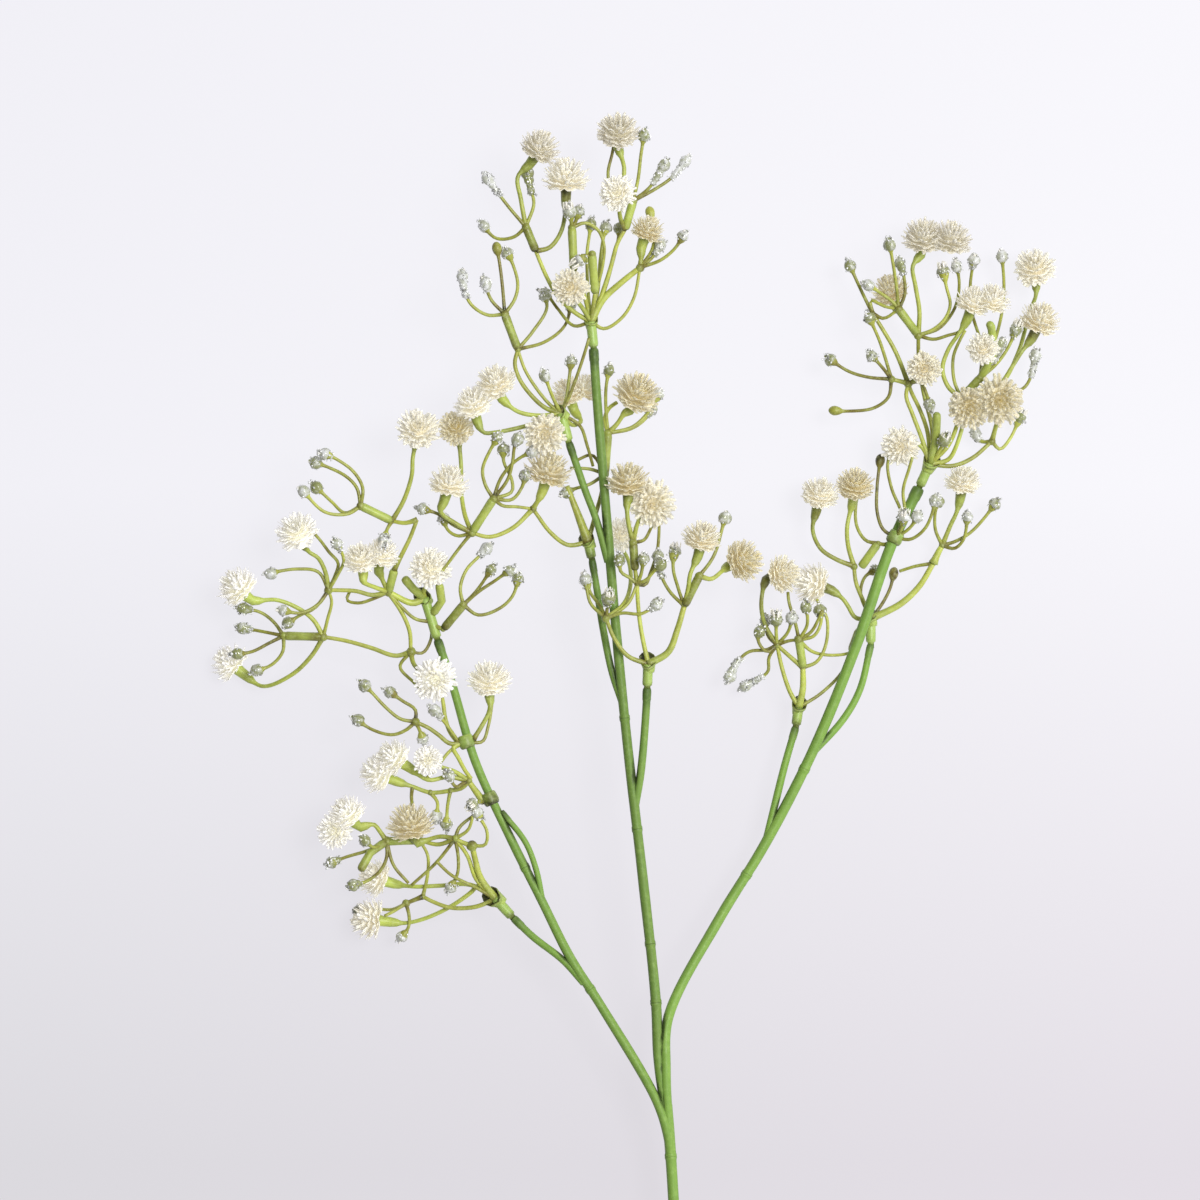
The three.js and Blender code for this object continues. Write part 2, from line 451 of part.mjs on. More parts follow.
      ["thread", "hub", [906, 516, 57], [904, 490], [911, 466, 67]],
      ["opening", "hub", [903, 528, 51], [905, 511, 63]],
      ["bud", "hub", [911, 528, 45], [922, 511, 51]],
    ],
    "blooms": {},
  },
  "sprig_right_side": {
    "knots": {
      "hub": [873, 619, 17, 7.5], "bend": [936, 563, 21, 3], "right": [945, 545, 23, 3.5], "up": [856, 566, 21, 4],
    },
    "shoots": [
      ["neck", [873.1, 642.4, 18.6], "hub"],
      ["limb", "hub", [903, 604], [922, 586], "bend"],
      ["limb", "bend", [941, 552], "right"],
      ["stalk", "right", [953, 525], [959, 512, 29], "bloom_41"],
      ["bud", "hub", [884, 605], [893, 588], [898, 567, 2]],
      ["bud", "right", [957, 548], [966, 539], [970, 511, 41]],
      ["bud", "right", [958, 541], [972, 533], [985, 520], [1001, 499, 29]],
      ["bud", "right", [938, 530], [937, 515], [941, 495, 43]],
      ["ray", "hub", [865, 600], [858, 582], "up"],
      ["stalk", "up", [850, 545], [849, 526, 27], "bloom_42"],
      ["stalk", "up", [838, 559], [822, 548], [814, 529, 33], "bloom_43"],
      ["bud", "hub", [863, 594, 15], [868, 576, 11], [884, 568, 7]],
      ["stalk", "hub", [858, 618], [850, 606], [845, 599, 19], "bloom_44"],
      ["sleeve", "hub", [861, 632], [854, 652, 5]],
    ],
    "blooms": {
      "bloom_41": [[[965, 479, 35], [0.1, -0.9, 0.4], 17]],
      "bloom_42": [[[857, 483, 37], [0.1, -0.8, 0.55], 18]],
      "bloom_43": [[[821, 492, 43], [0.15, -0.85, 0.45], 18]],
      "bloom_44": [[[813, 583, 21], [-0.9, -0.3, 0.3], 20]],
    },
  },
  "sprig_right_lower": {
    "knots": {
      "hub": [800, 708, 32, 7.5], "top_foot": [804, 668, 41, 3], "top": [800, 640, 47, 5], "left": [778, 645, 39, 3.5],
    },
    "shoots": [
      ["neck", [797.5, 725.4, 32], "hub"],
      ["limb", "hub", [804, 690], "top_foot"],
      ["sleeve", "top_foot", "top"],
      ["bud", "top", [808, 625], [806, 601, 63]],
      ["bud", "top", [815, 636], [822, 622], [820, 604, 51]],
      ["thread", "top", [812, 651], [825, 655], [844, 655, 25]],
      ["ray", "top_foot", [790, 656], "left"],
      ["thread", "left", [790, 641], "top"],
      ["ray", "hub", [791, 692], [783, 668], "left"],
      ["opening", "left", [777, 632], [777, 613, 59]],
      ["bud", "left", [769, 636], [766, 614, 33]],
      ["bud", "left", [789, 632], [794, 612, 55]],
      ["stalk", "left", [766, 625], [762, 603, 49], "bloom_45"],
      ["bud", "left", [768, 650], [750, 652], [737, 664], [728, 683, 33]],
      ["bud", "left", [770, 658], [769, 672], [757, 681], [741, 690, 23]],
      ["thread", "hub", [820, 696], [838, 680], [845, 671, 23]],
    ],
    "blooms": {
      "bloom_45": [[[785, 574, 61], [0.85, -0.2, 0.5], 18]],
    },
  },
};

// --- From the plan to the frame ---------------------------------------------------------------------------

function place([x, y, z]) {
  return new THREE.Vector3((x - PLAN_CENTRE_X) * UNIT, (PLAN_CENTRE_Y - y) * UNIT, z * UNIT);
}

function direction([x, y, z]) {
  return new THREE.Vector3(x, -y, z).normalize();
}

// Points of a path that give no height take it from their neighbours, by their distance on the plan.
function withHeights(points) {
  const run = [0];
  for (let i = 1; i < points.length; i += 1) {
    const [here, last] = [points[i], points[i - 1]];
    run.push(run[i - 1] + Math.hypot(here[0] - last[0], here[1] - last[1]));
  }
  return points.map((point, i) => {
    if (point.length > 2) return point.slice(0, 3);
    let before = i;
    while (points[before].length < 3) before -= 1;
    let after = i;
    while (points[after].length < 3) after += 1;
    const share = (run[i] - run[before]) / (run[after] - run[before]);
    return [point[0], point[1], points[before][2] + share * (points[after][2] - points[before][2])];
  });
}

// --- Solids -----------------------------------------------------------------------------------------------

function solid(geometry) {
  geometry.deleteAttribute('normal');
  geometry.deleteAttribute('uv');
  const merged = mergeVertices(geometry, 1e-5);
  const mesh = new wasm.Mesh({
    numProp: 3,
    vertProperties: new Float32Array(merged.attributes.position.array),
    triVerts: new Uint32Array(merged.index.array),
  });
  return new wasm.Manifold(mesh);
}

function fused(solids) {
  return wasm.Manifold.union(solids);
}

// A closed tube along a smooth line. rows(length, curve) gives [distance from the root, radius] for each ring
// of points. The section keeps one corner upward, so it doesn't twist.
function tube(points, rows, sides) {
  const curve = new THREE.CatmullRomCurve3(points, false, 'centripetal');
  const length = curve.getLength();
  const rings = rows(length, curve);
  const across = new THREE.Vector3();
  const frames = rings.map(([distance, radius]) => {
    const share = Math.min(1, Math.max(0, distance / length));
    const along = curve.getTangentAt(share);
    if (across.lengthSq() === 0) across.crossVectors(along, upwardFor(along));
    across.addScaledVector(along, -across.dot(along)).normalize();
    const up = new THREE.Vector3().crossVectors(across, along);
    return { centre: curve.getPointAt(share), across: across.clone(), up, reach: radius * cornerReach(sides) };
  });
  const geometry = new THREE.CylinderGeometry(1, 1, 1, sides, rings.length - 1);
  const position = geometry.attributes.position;
  for (let i = 0; i < position.count; i += 1) {
    const frame = frames[Math.round((position.getY(i) + 0.5) * (rings.length - 1))];
    const point = frame.centre.clone();
    point.addScaledVector(frame.across, position.getX(i) * frame.reach);
    point.addScaledVector(frame.up, position.getZ(i) * frame.reach);
    position.setXYZ(i, point.x, point.y, point.z);
  }
  return solid(geometry);
}

// How far out the corners of a section of radius 1 stand, for it to look as wide as a round one.
function cornerReach(sides) {
  return Math.PI / (sides * Math.sin(Math.PI / sides));
}

function upwardFor(along) {
  return Math.abs(along.z) > 0.9 ? new THREE.Vector3(1, 0, 0) : new THREE.Vector3(0, 0, 1);
}

// Distances along a curve, both ends included, between which straight runs stay within SAG of it.
function bends(curve, from, to) {
  const length = curve.getLength();
  const at = (distance) => curve.getPointAt(Math.min(1, distance / length));
  const chord = new THREE.Line3(at(from), at(to));
  let [worst, split] = [0, from];
  for (let i = 1; i < SAMPLES; i += 1) {
    const distance = from + (i / SAMPLES) * (to - from);
    const point = at(distance);
    const off = chord.closestPointToPoint(point, true, new THREE.Vector3()).distanceTo(point);
    if (off > worst) [worst, split] = [off, distance];
  }
  if (worst < SAG) return [from, to];
  return [...bends(curve, from, split), ...bends(curve, split, to).slice(1)];
}

// Rings where a curve bends, their radius running evenly between two values.
function evenRows(curve, from, to, startRadius, endRadius) {
  return bends(curve, from, to).map((distance) => {
    const share = (distance - from) / (to - from);
    return [distance, startRadius + share * (endRadius - startRadius)];
  });
}

// A thin run that widens, in the last of its length, into a calyx or a bud. shape gives the swelling's rings.
function tipped(points, thin, tipLength, shape) {
  const rows = (length, curve) => [
    ...evenRows(curve, 0, length - tipLength, thin.root, thin.tip),
    ...shape.map(([back, radius]) => [length - back * tipLength, radius]),
  ];
  return tube(points, rows, thin.sides);
}

function plain(points, size) {
  return tube(points, (length, curve) => evenRows(curve, 0, length, size.root, size.tip), size.sides);
}

function sleeve(points) {
  const rows = (length) => [
    [0, SLEEVE.end],
    [0.15 * length, SLEEVE.body],
    [length, SLEEVE.lip],
  ];
  return tube(points, rows, SLEEVE.sides);
}

function bud(points, size) {
  const shape = [
    [0.45, size.radius],
    [0, size.tip],
  ];
  return tipped(points, THREAD, size.length, shape);
}

function stalk(points) {
  const shape = [
    [1 - CALYX.shoulder / CALYX.length, CALYX.foot],
    [0, CALYX.mouth],
  ];
  return tipped(points, RAY, CALYX.length, shape);
}

const SHOOTS = {
  neck: (points) => plain(points, NECK),
  collar: (points) => plain(points, COLLAR),
  limb: (points) => plain(points, LIMB),
  ray: (points) => plain(points, RAY),
  thread: (points) => plain(points, THREAD),
  sleeve,
  bud: (points) => bud(points, BUD),
  opening: (points) => bud(points, OPENING),
  stalk,
};

function knob(centre, radius) {
  const geometry = new THREE.SphereGeometry(KNOB_REACH * radius, 4, 2);
  geometry.translate(centre.x, centre.y, centre.z);
  return solid(geometry);
}

// --- Blooms -----------------------------------------------------------------------------------------------

const UPWARD = new THREE.Vector3(0, 1, 0); // a head's own axis before it is turned

// A head of petals in two layers, made by moving a sphere's rings of points. Its foot is on the calyx.
function head(where, turn) {
  const [, facing, radius] = where;
  const geometry = new THREE.SphereGeometry(1, 2 * PETALS, BLOOM_RINGS.length + 1);
  const position = geometry.attributes.position;
  for (let i = 0; i < position.count; i += 1) {
    const level = Math.round((1 - Math.acos(position.getY(i)) / Math.PI) * (BLOOM_RINGS.length + 1));
    const angle = Math.atan2(position.getZ(i), position.getX(i));
    const [out, high] = onBloom(level, Math.round((angle / Math.PI) * PETALS));
    position.setXYZ(i, out * Math.cos(angle), high, out * Math.sin(angle));
  }
  geometry.scale(radius * UNIT, radius * UNIT, radius * UNIT);
  geometry.rotateY(turn);
  geometry.applyQuaternion(new THREE.Quaternion().setFromUnitVectors(UPWARD, direction(facing)));
  const foot = footOf(where);
  geometry.translate(foot.x, foot.y, foot.z);
  return solid(geometry);
}

function onBloom(level, column) {
  if (level === 0) return [0, 0];
  if (level > BLOOM_RINGS.length) return [0, BLOOM_HEART];
  const ring = BLOOM_RINGS[level - 1];
  const onPetal = (column % 2 === 0) !== ring.turned;
  return onPetal ? ring.petal : ring.between;
}

function footOf([centre, facing, radius]) {
  return place(centre).addScaledVector(direction(facing), -BLOOM_SEAT * radius * UNIT);
}

// --- The stem ---------------------------------------------------------------------------------------------

function stemLine(name) {
  return STEM_PLAN[name].path.map(place);
}

// Distance from a stem's root to where its line passes the plan's y.
function distanceTo(name, y) {
  const curve = new THREE.CatmullRomCurve3(stemLine(name), false, 'centripetal');
  const target = (PLAN_CENTRE_Y - y) * UNIT;
  let [low, high] = [0, 1];
  while (high - low > 1e-4) {
    const middle = (low + high) / 2;
    if (curve.getPointAt(middle).y < target) low = middle;
    else high = middle;
  }
  return low * curve.getLength();
}

// The stem's tubes with their raised joints, each wider than the real one by extra.
function stemTubes(extra) {
  return Object.entries(STEM_PLAN).map(([name, { radius }]) => {
    const [root, tip] = radius.map((value) => value * UNIT + extra);
    const joints = STEM_RINGS.filter(([stem]) => stem === name).map(([, y]) => distanceTo(name, y));
    const rows = (length, curve) => {
      const clear = ([distance]) => joints.every((joint) => Math.abs(distance - joint) > RING.length);
      const plainRows = evenRows(curve, 0, length, root, tip).filter(clear);
      const raised = joints.flatMap((joint) => {
        const here = root + (joint / length) * (tip - root);
        return RING_ROWS.map(([along, out]) => [joint + along * RING.length, here + out * RING.proud]);
      });
      return [...plainRows, ...raised].sort((a, b) => a[0] - b[0]);
    };
    return tube(stemLine(name), rows, name === 'base' ? STEM.baseSides : STEM.sides);
  });
}

// --- The sprays -------------------------------------------------------------------------------------------

// A point of a shoot: a plan point, a knot's name, or a bloom's name with /2 for its second head.
function resolved(plan, point) {
  if (typeof point !== 'string') return [point];
  if (plan.knots[point]) return [plan.knots[point].slice(0, 3)];
  const [bloom, number = '1'] = point.split('/');
  const where = plan.blooms[bloom][Number(number) - 1];
  return [behind(where, CALYX.length / 2), behind(where, GAP)];
}

// The plan point on a head's axis that is a distance in mm behind its foot.
function behind(where, distance) {
  const [[x, y, z], facing, radius] = where;
  const axis = direction(facing);
  const back = BLOOM_SEAT * radius + distance / UNIT;
  return [x - axis.x * back, y + axis.y * back, z - axis.z * back];
}

function shoot(plan, [kind, ...points]) {
  const line = withHeights(points.flatMap((point) => resolved(plan, point)));
  return SHOOTS[kind](line.map(place));
}

function sprig(plan, stemRoom) {
  const knobs = Object.values(plan.knots).filter((knot) => knot.length > 3);
  const pieces = [
    ...plan.shoots.map((row) => shoot(plan, row)),
    ...knobs.map((knot) => knob(place(knot), knot[3] * UNIT)),
  ];
  return fused(pieces).subtract(stemRoom);
}

// --- The whole ----------------------------------------------------------------------------------------------

const STEM_FINISH = new THREE.MeshStandardMaterial({ color: 0x5f9a45, roughness: 0.42, metalness: 0 });
const SPRIG_FINISH = new THREE.MeshStandardMaterial({ color: 0x9aa83e, roughness: 0.48, metalness: 0 });
const BLOOM_FINISH = new THREE.MeshStandardMaterial({ color: 0xe2dccb, roughness: 0.6, metalness: 0 });

// The one closed body of a fused solid. Scraps that a cut leaves loose are dropped.
function wholeBody(manifold) {
  const bodies = manifold.simplify(SMALLEST_DETAIL).decompose();
  return bodies.reduce((best, body) => (body.volume() > best.volume() ? body : best));
}

function piece(name, manifold, finish) {
  const mesh = wholeBody(manifold).getMesh();
  const geometry = new THREE.BufferGeometry();
  geometry.setAttribute('position', new THREE.BufferAttribute(new Float32Array(mesh.vertProperties), 3));
  geometry.setIndex([...mesh.triVerts]);
  geometry.computeVertexNormals();
  const node = new THREE.Mesh(geometry, finish.clone());
  node.name = name;
  return node;
}

// Evenly spread draws between 0 and 1, the same on every run.
function seededDraws(seed) {
  let state = seed;
  return () => {
    state = (state * 1664525 + 1013904223) % 4294967296;
    return state / 4294967296;
  };
}

function gypsophila() {
  const group = new THREE.Group();
  const draw = seededDraws(BLOOM_SEED);
  const stem = fused(stemTubes(0));
  const stemRoom = fused(stemTubes(GAP));
  group.add(piece('stem', stem, STEM_FINISH));
  for (const [name, plan] of Object.entries(SPRIG_PLAN)) {
    group.add(piece(name, sprig(plan, stemRoom), SPRIG_FINISH));
    for (const [bloom, heads] of Object.entries(plan.blooms)) {
      const turned = heads.map((where) => head(where, draw() * 2 * Math.PI));
      group.add(piece(bloom, fused(turned), BLOOM_FINISH));
    }
  }
  return group;
}

export default gypsophila();
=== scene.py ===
"""A gypsophila stem of moulded plastic and petal film: its looks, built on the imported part."""

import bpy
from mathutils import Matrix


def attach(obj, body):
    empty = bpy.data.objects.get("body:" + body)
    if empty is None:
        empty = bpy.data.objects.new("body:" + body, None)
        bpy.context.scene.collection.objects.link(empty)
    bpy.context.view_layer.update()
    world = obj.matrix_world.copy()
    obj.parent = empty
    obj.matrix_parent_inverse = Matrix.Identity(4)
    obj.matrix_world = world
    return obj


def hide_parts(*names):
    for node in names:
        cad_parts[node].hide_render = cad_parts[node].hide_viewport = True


bl_info = {
    "name": "Gypsophila Stem",
    "version": (1, 0, 0),
    "blender": (4, 5, 0),
    "location": "View3D > Sidebar > Gypsophila",
    "description": "Builds a gypsophila stem with its sprays, buds and layered blooms",
    "category": "Object",
}

import math
import random

import bpy
from mathutils import Vector, kdtree

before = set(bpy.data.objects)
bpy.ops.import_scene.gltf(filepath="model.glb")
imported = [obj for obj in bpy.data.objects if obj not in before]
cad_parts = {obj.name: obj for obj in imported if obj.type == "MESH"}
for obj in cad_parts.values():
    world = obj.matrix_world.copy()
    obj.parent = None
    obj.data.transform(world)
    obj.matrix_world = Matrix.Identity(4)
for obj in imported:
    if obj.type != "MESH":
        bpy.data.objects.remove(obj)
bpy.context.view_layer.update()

# --- Sizes, in metres unless they say so ----------------------------------------------------------

MM = 0.001
TURN = 2 * math.pi
UNIT = 0.38 * MM  # one unit of the plan
PLAN_CENTRE_X = 635.1  # the spot of the plan that lies at the origin
PLAN_CENTRE_Y = 904.1
SPACING = 1.4 * MM  # between a tube's rings of points
STEPS = 10  # samples of a line between two of its points
GLANCE = 0.3 * MM  # how far each way a line is read for its direction
STEEP = 0.9  # a direction that rises more than this counts as upright
TINY = 1e-9
FLOOR_GAP = 0.05 * MM  # what touches the surface is pressed to this height

# Radius of a shoot, at its root and at its tip where they differ
LIMB = (1.4 * MM, 1.05 * MM)
RAY = (0.9 * MM, 0.75 * MM)
THREAD = (0.68 * MM, 0.6 * MM)
HORN = (1.9 * MM, 0.95 * MM)
NECK = 1.9 * MM
COLLAR = 2.7 * MM

# The swellings: share of the length, then the radius in millimetres
SLEEVE = [(0, 1.1), (0.05, 1.5), (0.14, 1.66), (0.5, 1.6), (0.9, 1.68), (0.97, 1.5), (1, 0.9)]
CALYX = [(0, 0.9), (0.1, 1.2), (0.2, 1.58), (0.45, 1.92), (0.75, 2.08), (0.93, 2.22), (1, 2.3)]
CALYX_LENGTH = 9.1 * MM
BUD = [
    (0.0, 0.72), (0.08, 0.98), (0.22, 1.46), (0.42, 1.8), (0.6, 1.86), (0.78, 1.62), (0.92, 1.1),
    (1.0, 0.42),
]
BUD_LENGTH = 5.4 * MM
OPENING = [(0.0, 0.72), (0.1, 1.1), (0.3, 1.7), (0.55, 2.1), (0.75, 2.0), (0.9, 1.4), (1.0, 0.6)]
OPENING_LENGTH = 6.4 * MM

BLOOM_SEAT = 0.45  # of a head's radius, from its place on the plan back to the calyx
CALYX_GAP = 0.3 * MM  # between a calyx's mouth and the foot of its head

# --- The plan -------------------------------------------------------------------------------------
#
# All of it is in units of the plan: x to the right, y down it and z up from the surface.

# The limbs of the main stem: the radius at both ends, and the points of the path from the root.
STEM_PLAN = {
  "base": {
    "radius": [5.8, 5.3],
    "path": [[704, 1692, 5.92], [684, 1378, 38], [671, 1158, 60], [667, 1106, 66]],
  },
  "centre": {
    "radius": [5.0, 4.4],
    "path": [[666, 1114, 65], [658.5, 1060, 69], [656, 1003, 73.5], [643, 880, 83], [628, 750, 89],
      [617, 640, 92], [606, 510, 94], [597, 400, 94], [593.5, 349, 93]],
  },
  "centre_left_twig": {
    "radius": [3.6, 3.4],
    "path": [[608, 562, 93], [597, 522, 97], [585, 490, 99], [569, 443, 100]],
  },
  "centre_middle_twig": {
    "radius": [3.6, 3.4],
    "path": [[622, 702, 90], [612, 672, 86], [603, 628, 83], [597, 590, 82], [592, 560, 82]],
  },
  "centre_right_twig": {
    "radius": [3.9, 3.8],
    "path": [[635, 806, 86], [641, 770, 91], [646, 710, 96], [647, 688, 98]],
  },
  "left": {
    "radius": [4.8, 4.0],
    "path": [[671, 1158, 60], [668, 1136, 65], [656, 1100, 69], [600, 1005, 71], [570, 958, 70],
      [541, 900, 69], [509, 836, 67], [475, 762, 64], [452, 685, 60], [437, 640, 58]],
  },
  "left_bottom_twig": {
    "radius": [3.6, 3.5],
    "path": [[584, 984, 70], [563, 961, 68], [533, 938, 62], [513, 919, 58]],
  },
  "left_lower_twig": {
    "radius": [3.0, 2.8],
    "path": [[542, 900, 69], [536, 870, 72], [525, 842, 72], [501, 812, 67]],
  },
  "right": {
    "radius": [4.8, 5.4],
    "path": [[670, 1138, 61], [667.5, 1110, 66.5], [666, 1070, 70], [668.5, 1018, 66], [720, 920, 48],
      [765, 847, 39.5], [815, 750, 40], [858, 645, 40], [893, 545, 37], [921, 487, 33]],
  },
  "right_lower_twig": {
    "radius": [3.7, 3.6],
    "path": [[765, 850, 39], [774, 814, 37], [786, 766, 34], [797, 728, 32]],
  },
  "right_side_twig": {
    "radius": [3.5, 3.4],
    "path": [[812, 756, 39], [845, 720, 31], [862, 690, 25], [873, 645, 19]],
  },
}

# Ring joints: the limb, and the y of the plan that each sits at.
STEM_JOINTS = [
  ["base", 1158], ["centre", 1003], ["centre", 944], ["centre", 829], ["centre", 718],
  ["left", 990], ["left", 868], ["right", 876], ["right", 770],
]

